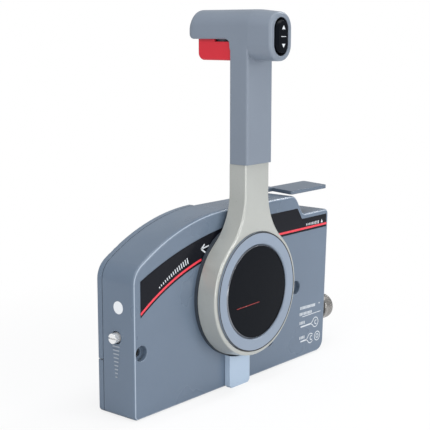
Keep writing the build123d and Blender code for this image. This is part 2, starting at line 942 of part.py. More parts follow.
def neutral_plate_screws():
    front = face_y - neutral_thick
    screws = Part()
    for angle in neutral_screw_angles:
        x, z = around(neutral_screw_ring, angle)
        head = rod(neutral_screw_head, x, z, front, front + neutral_thick / 2)
        head -= block(x - neutral_screw_head, x + neutral_screw_head, front - overrun, front + slot_width / 2,
                      z - slot_width / 2, z + slot_width / 2)
        screws += head + rod(neutral_screw_shank, x, z, front + neutral_thick / 2,
                             front + neutral_screw_length)
    return screws


# Lever casting
def lever_outline(half_width, boss_radius, tip_z):
    # A round boss that flares into a straight arm through two hollow arcs
    flare_x = half_width + flare_radius
    reach = boss_radius + flare_radius
    flare_z = math.sqrt(reach ** 2 - flare_x ** 2)
    join_share = boss_radius / reach
    join_x = flare_x * join_share
    join_z = flare_z * join_share
    turn = (math.atan2(-flare_z, -flare_x) + 3 * math.pi) / 2
    middle_x = flare_x + flare_radius * math.cos(turn)
    middle_z = flare_z + flare_radius * math.sin(turn)
    edges = [
        Line((half_width, tip_z), (half_width, flare_z)),
        ThreePointArc((half_width, flare_z), (middle_x, middle_z), (join_x, join_z)),
        ThreePointArc((join_x, join_z), (0, -boss_radius), (-join_x, join_z)),
        ThreePointArc((-join_x, join_z), (-middle_x, middle_z), (-half_width, flare_z)),
        Line((-half_width, flare_z), (-half_width, tip_z)),
        Line((-half_width, tip_z), (half_width, tip_z)),
    ]
    return make_face(edges)


def lever_arm():
    back_face = at_depth(-boss_back) * lever_outline(arm_half_back, boss_radius_back, arm_top)
    front_face = at_depth(-boss_front) * lever_outline(arm_half_front, boss_radius_front, arm_top)
    arm = loft([back_face.face(), front_face.face()], ruled=True)
    front_edges = arm.faces().sort_by(Axis.Y)[0].edges()
    arm = fillet(front_edges.filter_by(lambda edge: edge.center().Z < arm_top - arm_edge_radius),
                 arm_edge_radius)
    arm -= rod(ring_pocket_radius, 0, 0, -boss_front - overrun, -ring_seat)
    arm -= rod(cap_pocket_radius, 0, 0, -boss_front - overrun, -web_front)
    arm -= tube(boss_cavity_radius, hub_radius, 0, 0, -web_back, -boss_back + overrun)
    arm += block(-spigot_half_width, spigot_half_width, -spigot_front, -spigot_back, arm_top - overrun,
                 spigot_top)
    channel_foot = notch_ring_outer + lock_block_height
    arm -= block(-channel_half_width, channel_half_width, -channel_bottom, -boss_back + overrun,
                 channel_foot, spigot_top + overrun)
    socket = square_half + running_gap
    arm -= block(-socket, socket, -web_front - overrun, -boss_back + overrun, -socket, socket)
    for z in grip_screw_heights:
        for side in (-1, 1):
            arm -= rod(post_core, side * grip_screw_x, z, -spigot_front - overrun, -spigot_back + overrun)
    return arm


def channel_cover():
    half = channel_half_width - press_gap
    return block(-half, half, -boss_back - channel_cover_thick, -boss_back, channel_cover_foot, arm_top)


def ring_cover():
    half_bevel = ring_bevel / 2
    profile = [
        (ring_inner, -ring_seat), (ring_outer, -ring_seat), (ring_outer, -ring_front + half_bevel),
        (ring_outer - half_bevel, -ring_front), (ring_inner + ring_bevel, -ring_front),
        (ring_inner, -ring_front + ring_bevel), (ring_inner, -ring_seat),
    ]
    return turned_about_lever_axis(profile)


def turned_about_lever_axis(points):
    # Points are given as radius and Y, and turn about the lever's axis
    face = make_face(Polyline([(radius, y) for radius, y in points]).edges())
    return revolve(face, axis=Axis.Y)


def centre_cap():
    # A shallow dome with a skirt that seats on the casting's web
    rim = -cap_front
    crown_radius = cap_radius - cap_bevel
    crown = Spline((0, rim - cap_dome), (crown_radius / 2, rim - cap_dome / 2 - cap_dome / 4),
                   (crown_radius, rim))
    edges = [
        crown,
        Line((crown_radius, rim), (cap_radius, rim + cap_bevel)),
        Line((cap_radius, rim + cap_bevel), (cap_radius, rim + cap_thick)),
        Line((cap_radius, rim + cap_thick), (cap_skirt_outer, rim + cap_thick)),
        Line((cap_skirt_outer, rim + cap_thick), (cap_skirt_outer, -web_front)),
        Line((cap_skirt_outer, -web_front), (cap_skirt_inner, -web_front)),
        Line((cap_skirt_inner, -web_front), (cap_skirt_inner, rim + cap_thick)),
        Line((cap_skirt_inner, rim + cap_thick), (0, rim + cap_thick)),
        Line((0, rim + cap_thick), (0, rim - cap_dome)),
    ]
    return revolve(make_face(edges), axis=Axis.Y)


def lever_washer():
    return tube(washer_radius, lever_bolt_radius + slip_gap, 0, 0, -web_front - washer_thick, -web_front)


def lever_bolt():
    seat = -web_front - washer_thick
    head = slab(RegularPolygon(bolt_head_flat, 6, major_radius=False), seat - bolt_head_height, seat)
    head -= rod(lever_bolt_radius / 2, 0, 0, seat - bolt_head_height - overrun, seat - bolt_head_height / 2)
    return head + rod(lever_bolt_radius, 0, 0, seat, -lever_bolt_tip - slip_gap)


# Grip column and cross head
def full_section(inset):
    height = head_top - head_low - 2 * inset
    middle = (head_top + head_low) / 2
    return Pos(0, middle) * RectangleRounded(2 * (head_half_width - inset), height, head_crown - inset)


def near_section(inset):
    height = near_top - head_low - 2 * inset
    return Pos(0, rocker_z) * RectangleRounded(2 * (near_half_width - inset), height, head_crown - inset)


def round_off(reach, length, depth):
    # How far an elliptic rounding has fallen away at a distance from its end
    share = 1 - min(reach, length) / length
    return depth * (1 - math.sqrt(1 - share ** 2))


def far_section(reach, inset):
    # The head behind the column at a distance from its far end, with a crowned top and a flat underside
    top = head_top - inset - round_off(reach, far_dome_length - inset, far_dome_height - inset)
    low = far_low + inset + round_off(reach, far_low_corner, far_low_corner)
    half = head_half_width - inset - round_off(reach, far_plan_corner, far_plan_corner)
    height = top - low
    low_edge = min(far_low_edge, low_edge_share * height)
    crown = min(head_crown - inset, crown_share * half, crown_share * (height - low_edge))
    sketch = Rectangle(2 * half, height)
    corners = sketch.vertices().group_by(Axis.Y)
    sketch = fillet(corners[-1], crown)
    sketch = fillet(sketch.vertices().group_by(Axis.Y)[0], low_edge)
    return at_depth(head_far - inset - reach) * (Pos(0, (top + low) / 2) * sketch)


def far_head(inset):
    length = far_dome_length - inset
    straight = far_section(length, inset).face()
    body = extrude(straight, amount=head_far - inset - length + column_front - grip_wall, dir=(0, -1, 0))
    turns = [math.radians(angle) for angle in far_dome_angles]
    slices = [far_section(length * (1 - math.sin(turn)), inset).face() for turn in turns]
    return body + loft(slices)


def head_form(inset):
    # Drawn from section to section: a near part that narrows, the part over the column and a domed far part
    near_face = at_depth(-head_near + inset) * near_section(inset)
    column_face = at_depth(-column_front) * full_section(inset)
    near = loft([near_face.face(), column_face.face()], ruled=True)
    middle = slab(full_section(inset), -column_front, -column_back - inset)
    return near + middle + far_head(inset)


def column_sketch(inset):
    middle_y = -(column_front + column_back) / 2
    width = 2 * (column_half_width - inset)
    depth = column_front - column_back - 2 * inset
    return Pos(0, middle_y) * RectangleRounded(width, depth, max(column_corner - inset, column_inner_corner))


def grip_shell():
    column = Pos(0, 0, arm_top) * extrude(column_sketch(0), amount=rocker_z - arm_top)
    head = head_form(0)
    near_edges = head.faces().sort_by(Axis.Y)[0].edges()
    head = fillet(near_edges, near_edge_radius)
    shell = column + head + underside_corner()
    inner_length = rocker_z - arm_top + 2 * overrun
    shell -= Pos(0, 0, arm_top - overrun) * extrude(column_sketch(grip_wall), amount=inner_length)
    shell -= head_form(grip_wall)
    opening = Pos(0, rocker_z) * oval(rocker_opening_half_width, rocker_opening_half_height)
    shell -= slab(opening, -head_near - overrun, -head_near + grip_wall + overrun)
    # pocket below the far head, open downwards, that the trigger rises into
    pocket_half = trigger_half_width + slip_gap
    shell -= block(-pocket_half, pocket_half, -column_back - slip_gap, -trigger_far + slip_gap,
                   far_low - overrun, far_low + overrun + grip_wall)
    # slot that the trigger's stem slides in
    stem_half = stem_half_width + slip_gap
    shell -= block(-stem_half, stem_half, -column_back - grip_wall - overrun, -column_back + overrun,
                   stem_low - slip_gap, stem_high + trigger_travel + slip_gap)
    cover_half = grip_cover_half_width + press_gap
    shell -= block(-cover_half, cover_half, -column_back - grip_wall - overrun, -column_back + overrun,
                   grip_cover_foot - press_gap, grip_cover_top + press_gap)
    return shell + spring_guide()


def underside_corner():
    # Rounds the corner between the column's back and the underside of the far head
    corner_y = -column_back
    fill = block(-head_half_width, head_half_width, corner_y - grip_wall, corner_y + underside_radius,
                 far_low - underside_radius, far_low + grip_wall)
    reach = head_half_width + overrun
    return fill - rod_along_x(underside_radius, corner_y + underside_radius, far_low - underside_radius,
                              -reach, reach)


def spring_guide():
    ring = Circle(guide_outer) - Circle(guide_inner)
    height = head_top - grip_wall / 2 - guide_low
    return Pos(0, -spring_from_mount, guide_low) * extrude(ring, amount=height)


def oval(half_width, half_height):
    return SlotOverall(2 * half_height, 2 * half_width, rotation=90)


def grip_back_cover():
    cover = block(-grip_cover_half_width, grip_cover_half_width, -column_back - grip_wall, -column_back,
                  grip_cover_foot, grip_cover_top)
    for z in grip_screw_heights:
        for side in (-1, 1):
            x = side * grip_screw_x
            cover -= rod(screw_shank + slip_gap, x, z, -column_back - grip_wall - overrun,
                         -column_back + overrun)
            cover -= rod(screw_head + press_gap, x, z, -column_back - screw_head_depth,
                         -column_back + overrun)
    return cover


def grip_screws():
    screws = Part()
    seat = -column_back - screw_head_depth
    for z in grip_screw_heights:
        for side in (-1, 1):
            x = side * grip_screw_x
            head = rod(screw_head, x, z, seat, -column_back)
            head -= block(x - screw_head / 2, x + screw_head / 2, seat / 2 - column_back / 2,
                          -column_back + overrun,
                          z - slot_width / 4, z + slot_width / 4)
            screws += head + rod(screw_shank, x, z, seat - grip_screw_length, seat)
    return screws


# Trim rocker
def rocker_bezel():
    z = rocker_z
    outer = oval(rocker_opening_half_width - press_gap, rocker_opening_half_height - press_gap)
    inner = oval(rocker_opening_half_width - bezel_wall, rocker_opening_half_height - bezel_wall)
    front = -head_near + bezel_sink
    ring = slab(Pos(0, z) * (outer - inner), front, front + bezel_depth)
    return ring - rocker_axle(rocker_pin_radius + press_gap, rocker_opening_half_width + overrun)


def trim_switch_body():
    z = rocker_z
    back = -head_near + bezel_sink + bezel_depth
    body = slab(Pos(0, z) * oval(rocker_opening_half_width, rocker_opening_half_height), back,
                back + switch_depth)
    terminals = Part()
    for level in (-1, 0, 1):
        terminal_z = z + level * terminal_pitch
        terminals += block(-terminal_half_width, terminal_half_width,
                           back + switch_depth, back + switch_depth + terminal_length,
                           terminal_z - bezel_wall / 2, terminal_z + bezel_wall / 2)
    return body + terminals


def rocker_axle(radius, reach):
    return rod_along_x(radius, -head_near + rocker_pivot_depth, rocker_z, -reach, reach)


def rocker_pin():
    return rocker_axle(rocker_pin_radius, rocker_opening_half_width - slip_gap)


def trim_rocker():
    z = rocker_z
    foot_y = -head_near + rocker_depth
    shoulder_y = -head_near - rocker_shoulder + bezel_sink
    face = -head_near - rocker_proud
    wide = rocker_base_half_width
    base = slab(Pos(0, z) * oval(wide, rocker_half_height), shoulder_y, foot_y)
    lower = at_depth(shoulder_y) * (Pos(0, z) * oval(wide, rocker_half_height))
    upper = at_depth(face) * (Pos(0, z) * oval(rocker_half_width, rocker_half_height - rocker_shoulder))
    cap = loft([lower.face(), upper.face()], ruled=True)
    return base + cap - rocker_axle(rocker_pin_radius + running_gap, rocker_opening_half_width)


# Neutral lock
def trigger():
    body = block(-trigger_half_width, trigger_half_width, -trigger_back, -trigger_far, trigger_low,
                 trigger_high)
    body += block(-trigger_half_width, trigger_half_width, -trigger_step, -trigger_far, trigger_low,
                  trigger_peak)
    corner = body.edges().filter_by(Axis.X).sort_by(lambda edge: edge.center().Z - edge.center().Y)[0]
    body = fillet(corner, trigger_corner)

    def is_low(edge):
        place = edge.center()
        return place.Z < trigger_high - trigger_edge and place.Y > -trigger_back + trigger_edge
    body = fillet(body.edges().filter_by(is_low), trigger_edge)
    room = trigger_wall
    body -= block(-trigger_half_width + room, trigger_half_width - room, -trigger_back + room,
                  -trigger_far - room,
                  trigger_low + room, trigger_peak + overrun)
    peg = Circle(spring_radius - 2 * spring_wire)
    post = Pos(0, -spring_from_mount, trigger_low + room) * extrude(peg, amount=overrun)
    stem = block(-stem_half_width, stem_half_width, -stem_reach, -trigger_back, stem_low, stem_high)
    pocket = rod_half_width + running_gap
    stem -= block(-pocket, pocket, -rod_front - running_gap, -rod_back + running_gap, stem_low - overrun,
                  rod_top)
    return body + post + stem


def lock_rod():
    # A foot that drops behind the notched ring, on a strip that runs up to the trigger
    foot_front = -web_back + slip_gap
    foot = block(-lock_block_half_width, lock_block_half_width, foot_front, -lock_block_back,
                 lock_tip_z, lock_tip_z + lock_block_height + lock_block_overlap)
    strip_low = notch_ring_outer + lock_block_height + slip_gap
    strip = block(-rod_half_width, rod_half_width, -rod_front, -rod_back, strip_low, rod_top)
    return foot + strip


def trigger_spring():
    low = trigger_low + trigger_wall + spring_wire
    high = head_top - grip_wall - spring_wire
    path = Helix(pitch=(high - low) / spring_turns, height=high - low, radius=spring_radius)
    start = path.position_at(0)
    plane = Plane(origin=start, z_dir=path.tangent_at(0))
    coil = sweep(plane * RegularPolygon(spring_wire, 4), path=path)
    return Pos(0, -spring_from_mount, low) * coil


# Quick-idle lever
def free_throttle_lever():
    pad_top = idle_pad_top_height - pivot_height
    pad_low = pad_top - idle_pad_thick
    right = idle_pad_left + idle_pad_length
    pad_sketch = make_face(Polyline([
        (idle_pad_left, -idle_pad_front), (right, -idle_pad_front),
        (right + idle_pad_skew, -idle_pad_back), (idle_pad_left + idle_pad_skew, -idle_pad_back),
        (idle_pad_left, -idle_pad_front),
    ]).edges())
    pad_sketch = fillet(pad_sketch.vertices(), idle_pad_corner)
    tab = Pos((idle_tab_left + idle_tab_right) / 2, -(idle_tab_front + idle_arm_back) / 2) * Rectangle(
        idle_tab_right - idle_tab_left, idle_tab_front - idle_arm_back)
    pad = Pos(0, 0, pad_low) * extrude(pad_sketch + tab, amount=idle_pad_thick)
    direction = 90 - idle_arm_angle
    reach = pad_top / math.sin(math.radians(direction))
    middle = around(reach / 2, direction)
    strip = Rectangle(reach + 2 * idle_arm_half_width, 2 * idle_arm_half_width)
    arm_sketch = Pos(*middle) * Rot(0, 0, direction) * strip
    arm_sketch += Circle(idle_hub_outer)
    arm_sketch &= Pos(0, 0) * Rectangle(housing_length, 2 * pad_top)
    arm = slab(arm_sketch, -idle_arm_front, -idle_arm_back)
    hub = rod(idle_hub_outer, 0, 0, -idle_hub_front, -idle_arm_back)
    bore = rod(rear_bush_outer + bearing_wall + running_gap, 0, 0, -idle_hub_front - overrun, overrun)
    return pad + arm + hub - bore


# Key switch
def key_z():
    return bottom_z + key_above_bottom


def key_rod(radius, inward, outward):
    return stern_rod(radius, -key_from_mount, key_z(), inward, outward)


def key_switch_body():
    inner_end = -wall - key_body_length
    body = key_rod(key_body_radius, inner_end, -wall)
    body += key_rod(key_neck_radius, -wall, key_neck_out)
    return body - key_rod(key_barrel_radius + running_gap, inner_end + wall, key_neck_out + overrun)


def key_switch_nut():
    ring = key_rod(key_nut_radius, 0, key_nut_thick)
    return ring - key_rod(key_neck_radius + running_gap, -overrun, key_nut_thick + overrun)


def key_bezel():
    cap = key_rod(key_bezel_radius, key_neck_out, key_bezel_end)
    rims = cap.edges().filter_by(GeomType.CIRCLE).sort_by(Axis.X)
    cap = fillet(rims[-1], bezel_dome)
    cap = fillet(cap.edges().filter_by(GeomType.CIRCLE).sort_by(Axis.X)[0], bezel_edge)
    return cap - key_rod(key_barrel_radius + running_gap, key_neck_out - overrun, key_bezel_end + overrun)


def key_barrel():
    barrel = key_rod(key_barrel_radius, -wall - key_body_length + wall + slip_gap, key_bezel_end)
    lean = math.radians(lean_angle)
    direction = Vector(math.cos(lean), 0, -math.sin(lean))
    mouth = Vector(stern_wall_x(key_z()), -key_from_mount, key_z()) + direction * key_bezel_end
    plane = Plane(origin=mouth, x_dir=(0, 1, 0), z_dir=direction)
    slot = extrude(plane * Rectangle(2 * key_slot_half_width, 2 * key_slot_half_length),
                   amount=-key_slot_depth)
    return barrel - slot


# Stop switch
def stop_rod(radius, inward, outward):
    return stern_rod(radius, -stop_from_mount, bottom_z + stop_above_bottom, inward, outward)


def stop_switch_body():
    body = stop_rod(stop_body_radius, -wall - stop_body_length, -wall)
    body += stop_rod(stop_neck_radius, -wall, stop_neck_out)
    stem = stop_stem_radius() + running_gap
    return body - stop_rod(stem, -wall - stop_body_length + wall, stop_neck_out + overrun)


def stop_stem_radius():
    return stop_neck_radius - bezel_edge


def stop_switch_collar():
    collar = stop_rod(stop_collar_radius, 0, stop_collar_thick)
    return collar - stop_rod(stop_neck_radius + running_gap, -overrun, stop_collar_thick + overrun)


def stop_button():
    head_start = stop_neck_out + stop_travel + slip_gap
    head = stop_rod(stop_button_radius, head_start, stop_button_out)
    head = fillet(head.edges().filter_by(GeomType.CIRCLE).sort_by(Axis.X)[-1], bezel_edge)
    return head + stop_rod(stop_stem_radius(), -wall - stop_body_length / 2, head_start)


# Film, lead cover and cable entries
def face_decal():
    return slab(decal_outline(), face_y + decal_sink - decal_thick, face_y + decal_sink)


def trim_lead_cover():
    front = face_y - lead_cover_proud
    low = bottom_z - lead_cover_below
    cover = block(-lead_cover_left, lead_cover_right, front, face_y, low, -lead_cover_top)
    bottom_edges = cover.edges().filter_by(Axis.Y).sort_by(Axis.Z)[:2]
    cover = chamfer(bottom_edges, lead_cover_chamfer)
    hollow = block(-lead_cover_left + lead_cover_wall, lead_cover_right - lead_cover_wall,
                   front + lead_cover_wall, face_y, low + lead_cover_wall + lead_cover_below, -lead_cover_top)
    cover -= hollow
    cover -= rod(boss_radius_back + lead_gap, 0, 0, front - overrun, face_y + overrun)
    hole = lead_slot(lead_hole_length, lead_hole_width)
    return cover - Pos(0, 0, low - overrun) * extrude(hole, amount=2 * overrun + lead_cover_below)


def lead_slot(length, width):
    middle_x = (lead_cover_right - lead_cover_left) / 2
    middle_y = face_y - (lead_cover_proud - lead_cover_wall) / 2
    return Pos(middle_x, middle_y) * SlotOverall(length, width)


def lead_grommet():
    low = bottom_z - lead_cover_below
    outer = lead_slot(lead_hole_length, lead_hole_width)
    inner = lead_slot(lead_hole_length - 2 * lead_grommet_wall, lead_hole_width - 2 * lead_grommet_wall)
    return Pos(0, 0, low) * extrude(outer - inner, amount=lead_cover_wall + lead_cover_below)


def cable_grommets():
    rings = Part()
    for depth in port_depths:
        y = -depth
        z = -port_below_pivot
        ring = stern_rod(port_hole, y, z, -wall - grommet_flange_thick, grommet_flange_thick)
        ring += stern_rod(grommet_flange, y, z, grommet_flange_thick / 2, 2 * grommet_flange_thick)
        rings += ring - stern_rod(cable_radius, y, z, -wall - overrun * 2, overrun * 2)
    return rings


def cable_saddle():
    floor_z = bottom_z + wall
    saddle = block(clamp_from, clamp_to, -clamp_front, -clamp_back, floor_z,
                   -port_below_pivot - clamp_gap / 2)
    return clamp_bores(saddle)


def cable_strap():
    strap = block(clamp_from, clamp_to, -clamp_front, -clamp_back, -port_below_pivot + clamp_gap / 2,
                  -clamp_top)
    return clamp_bores(strap)


def clamp_bores(piece):
    for depth in port_depths:
        piece -= rod_along_x(cable_radius, -depth, -port_below_pivot, clamp_from - overrun,
                             clamp_to + overrun)
    x = (clamp_from + clamp_to) / 2
    hole = Circle(strap_screw_radius + running_gap)
    return piece - Pos(x, -strap_screw_from_mount, bottom_z + wall) * extrude(hole, amount=pivot_height)


def strap_screws():
    x = (clamp_from + clamp_to) / 2
    place = Pos(x, -strap_screw_from_mount, bottom_z + wall + slip_gap)
    shank_length = -clamp_top - bottom_z - wall - slip_gap
    shank = place * extrude(Circle(strap_screw_radius), amount=shank_length)
    head = Pos(x, -strap_screw_from_mount, -clamp_top) * extrude(Circle(screw_head),
                                                                 amount=screw_head_depth / 2)
    return shank + head


parts = {
    "front_cover": front_cover,
    "back_plate": back_plate,
    "lower_back_cover": lower_back_cover,
    "back_plate_screws": lambda: cover_screws(upper_posts),
    "lower_cover_screws": lambda: cover_screws(lower_posts),
    "mounting_sleeves": mounting_sleeves,
    "front_bush": front_bush,
    "rear_bush": rear_bush,
    "neutral_plate": neutral_plate,
    "neutral_plate_screws": neutral_plate_screws,
    "sector_studs": sector_studs,
    "detent_spring": detent_spring,
    "detent_screw": detent_screw,
    "key_switch_body": key_switch_body,
    "key_switch_nut": key_switch_nut,
    "key_bezel": key_bezel,
    "key_barrel": key_barrel,
    "stop_switch_body": stop_switch_body,
    "stop_switch_collar": stop_switch_collar,
    "stop_button": stop_button,
    "face_decal": face_decal,
    "trim_lead_cover": trim_lead_cover,
    "lead_grommet": lead_grommet,
    "cable_grommets": cable_grommets,
    "cable_saddle": cable_saddle,
    "cable_strap": cable_strap,
    "strap_screws": strap_screws,
    "friction_screw": friction_screw,
    "friction_clip": friction_clip,
    "friction_shoe": friction_shoe,
    "lever_arm": lever_arm,
    "channel_cover": channel_cover,
    "ring_cover": ring_cover,
    "centre_cap": centre_cap,
    "lever_bolt": lever_bolt,
    "lever_washer": lever_washer,
    "main_shaft": main_shaft,
    "shaft_washer": shaft_washer,
    "drive_gear": drive_gear,
    "detent_disc": detent_disc,
    "grip_shell": grip_shell,
    "grip_back_cover": grip_back_cover,
    "grip_screws": grip_screws,
    "rocker_bezel": rocker_bezel,
    "trim_switch_body": trim_switch_body,
    "rocker_pin": rocker_pin,
    "trim_rocker": trim_rocker,
    "trigger": trigger,
    "lock_rod": lock_rod,
    "trigger_spring": trigger_spring,
    "free_throttle_lever": free_throttle_lever,
    "throttle_sector": throttle_sector,
    "throttle_cable_pin": throttle_cable_pin,
    "shift_sector": shift_sector,
    "shift_cable_pin": shift_cable_pin,
}

os.makedirs("parts", exist_ok=True)
for name, make in parts.items():
    export_step(make(), f"parts/{name}.step")
    print("wrote", name)
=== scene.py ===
import json
import math

import bmesh
import bpy
from mathutils import Matrix, Vector


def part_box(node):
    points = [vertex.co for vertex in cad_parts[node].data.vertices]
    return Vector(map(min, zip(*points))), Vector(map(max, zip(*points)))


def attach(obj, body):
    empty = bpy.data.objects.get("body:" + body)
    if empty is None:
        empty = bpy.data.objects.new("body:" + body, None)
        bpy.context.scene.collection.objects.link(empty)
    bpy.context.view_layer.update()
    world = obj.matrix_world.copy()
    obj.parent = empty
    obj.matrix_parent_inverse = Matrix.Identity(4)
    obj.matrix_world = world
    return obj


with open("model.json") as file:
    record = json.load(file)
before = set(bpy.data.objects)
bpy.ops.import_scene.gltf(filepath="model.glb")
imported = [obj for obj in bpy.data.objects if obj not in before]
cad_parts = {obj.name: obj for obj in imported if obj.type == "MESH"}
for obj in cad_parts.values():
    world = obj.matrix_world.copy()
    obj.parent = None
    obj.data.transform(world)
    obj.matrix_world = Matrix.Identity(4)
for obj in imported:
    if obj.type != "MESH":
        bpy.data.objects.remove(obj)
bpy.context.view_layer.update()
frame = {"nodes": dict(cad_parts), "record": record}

cadNodes = frame["nodes"]
print("frame:", len(cadNodes), "nodes")

# Camera, from the photograph's viewing angle
cameraLook = {"place": (-0.68072, -0.58730, 0.21337), "turn": 49.867, "dip": 9.822, "lens": 89.585,
              "sensor": 36.0, "clipStart": 0.01}


def makeCamera(look):
    data = bpy.data.cameras.new("photoCamera")
    data.lens = look["lens"]
    data.sensor_width = look["sensor"]
    data.sensor_fit = "HORIZONTAL"
    data.clip_start = look["clipStart"]
    camera = bpy.data.objects.new("photoCamera", data)
    bpy.context.collection.objects.link(camera)
    camera.location = look["place"]
    camera.rotation_euler = (math.radians(90 - look["dip"]), 0, -math.radians(look["turn"]))
    bpy.context.scene.camera = camera


makeCamera(cameraLook)

# Studio
studioLook = {
    "skyStrength": 0.52, "skyColor": (0.93, 0.96, 1.0, 1), "floorHeight": -0.0825, "floorSize": 6.0,
    "floorColor": (0.86, 0.86, 0.87, 1), "floorRough": 0.9, "backdropNear": 0.80, "fadeFrom": 0.14,
    "fadeTo": 0.42,
    "lamps": {
        "overhead": {"place": (-0.10, -0.25, 1.15), "aim": (0.0, -0.02, 0.05), "size": 0.6, "power": 4.6},
        "front": {"place": (0.34, -0.95, 0.24), "aim": (0.04, -0.04, 0.0), "size": 0.4, "power": 3.1},
        "bow": {"place": (-1.25, -0.45, 0.50), "aim": (-0.05, -0.03, 0.05), "size": 0.5, "power": 2.3},
        "stern": {"place": (0.95, -0.20, 0.85), "aim": (0.0, -0.03, 0.05), "size": 0.22, "power": 4.5},
        "side": {"place": (-0.46, -0.16, 0.46), "aim": (-0.02, -0.07, 0.14), "size": 0.12, "power": 0.62},
        "eye": {"place": (-0.95, -1.15, 0.06), "aim": (0.0, -0.04, 0.03), "size": 0.18, "power": 3.0},
    },
}


def makeStudio(look):
    world = bpy.data.worlds.new("studioSky")
    bpy.context.scene.world = world
    world.use_nodes = True
    nodes, links = world.node_tree.nodes, world.node_tree.links
    nodes.clear()
    output = nodes.new("ShaderNodeOutputWorld")
    soft = nodes.new("ShaderNodeBackground")
    soft.inputs["Color"].default_value = look["skyColor"]
    soft.inputs["Strength"].default_value = look["skyStrength"]
    plain = nodes.new("ShaderNodeBackground")
    plain.inputs["Color"].default_value = (1, 1, 1, 1)
    plain.inputs["Strength"].default_value = 1.0
    path = nodes.new("ShaderNodeLightPath")
    mix = nodes.new("ShaderNodeMixShader")
    links.new(path.outputs["Is Camera Ray"], mix.inputs["Fac"])
    links.new(soft.outputs["Background"], mix.inputs[1])
    links.new(plain.outputs["Background"], mix.inputs[2])
    links.new(mix.outputs["Shader"], output.inputs["Surface"])
    for name, lamp in look["lamps"].items():
        data = bpy.data.lights.new(name + "Lamp", "AREA")
        data.shape = "SQUARE"
        data.size = lamp["size"]
        data.energy = lamp["power"]
        light = bpy.data.objects.new(name + "Lamp", data)
        bpy.context.collection.objects.link(light)
        light.location = lamp["place"]
        aim = Vector(lamp["aim"]) - Vector(lamp["place"])
        light.rotation_euler = aim.to_track_quat("-Z", "Y").to_euler()
    half = look["floorSize"] / 2
    mesh = bpy.data.meshes.new("studioFloor")
    height = look["floorHeight"]
    corners = [(-half, -half, height), (half, -half, height), (half, half, height), (-half, half, height)]
    mesh.from_pydata(corners, [], [(0, 1, 2, 3)])
    floor = bpy.data.objects.new("studioFloor", mesh)
    bpy.context.collection.objects.link(floor)
    material = bpy.data.materials.new("floorPaper")
    material.use_nodes = True
    nodes, links = material.node_tree.nodes, material.node_tree.links
    surface = nodes["Principled BSDF"]
    surface.inputs["Base Color"].default_value = look["floorColor"]
    surface.inputs["Roughness"].default_value = look["floorRough"]
    glow = nodes.new("ShaderNodeEmission")
    glow.inputs["Color"].default_value = (1, 1, 1, 1)
    path = nodes.new("ShaderNodeLightPath")
    place = nodes.new("ShaderNodeTexCoord")
    away = nodes.new("ShaderNodeVectorMath")
    away.operation = "LENGTH"
    links.new(place.outputs["Object"], away.inputs[0])
    fade = nodes.new("ShaderNodeMapRange")
    fade.interpolation_type = "SMOOTHSTEP"
    fade.inputs["From Min"].default_value = look["fadeFrom"]
    fade.inputs["From Max"].default_value = look["fadeTo"]
    fade.inputs["To Min"].default_value = look["backdropNear"]
    links.new(away.outputs["Value"], fade.inputs["Value"])
    share = nodes.new("ShaderNodeMath")
    share.operation = "MULTIPLY"
    links.new(fade.outputs["Result"], share.inputs[1])
    mix = nodes.new("ShaderNodeMixShader")
    links.new(path.outputs["Is Camera Ray"], share.inputs[0])
    links.new(share.outputs[0], mix.inputs["Fac"])
    links.new(surface.outputs["BSDF"], mix.inputs[1])
    links.new(glow.outputs["Emission"], mix.inputs[2])
    links.new(mix.outputs["Shader"], nodes["Material Output"].inputs["Surface"])
    mesh.materials.append(material)


makeStudio(studioLook)
bpy.context.scene.view_settings.view_transform = "Standard"
print("studio: camera, floor and lamps")


# Shader groups that several finishes share
groupLooks = {
    "edge": {"samples": 6, "gain": 7.0, "patchDetail": 4.0, "patchRough": 0.6, "patchCut": 0.30},
    "grain": {"detail": 2.0, "cloudDetail": 3.0},
    "dust": {"steepness": 3.0, "detail": 6.0, "rough": 0.7},
    "brush": {"detail": 3.0},
}


def newGroup(name, inputs, outputs):
    tree = bpy.data.node_groups.new(name, "ShaderNodeTree")
    for label, value in inputs.items():
        socket = tree.interface.new_socket(label, in_out="INPUT", socket_type="NodeSocketFloat")
        socket.default_value = value
    for label, kind in outputs.items():
        tree.interface.new_socket(label, in_out="OUTPUT", socket_type=kind)
    return tree, tree.nodes.new("NodeGroupInput"), tree.nodes.new("NodeGroupOutput")


def mathNode(tree, operation, first, second):
    node = tree.nodes.new("ShaderNodeMath")
    node.operation = operation
    for socket, value in zip(node.inputs, (first, second)):
        if isinstance(value, (int, float)):
            socket.default_value = value
        elif value is not None:
            tree.links.new(value, socket)
    return node.outputs[0]


def objectNoise(tree, scale, detail, roughness=0.5):
    place = tree.nodes.new("ShaderNodeTexCoord")
    noise = tree.nodes.new("ShaderNodeTexNoise")
    tree.links.new(place.outputs["Object"], noise.inputs["Vector"])
    for name, value in (("Scale", scale), ("Detail", detail), ("Roughness", roughness)):
        if isinstance(value, (int, float)):
            noise.inputs[name].default_value = value
        else:
            tree.links.new(value, noise.inputs[name])
    return noise.outputs["Fac"]


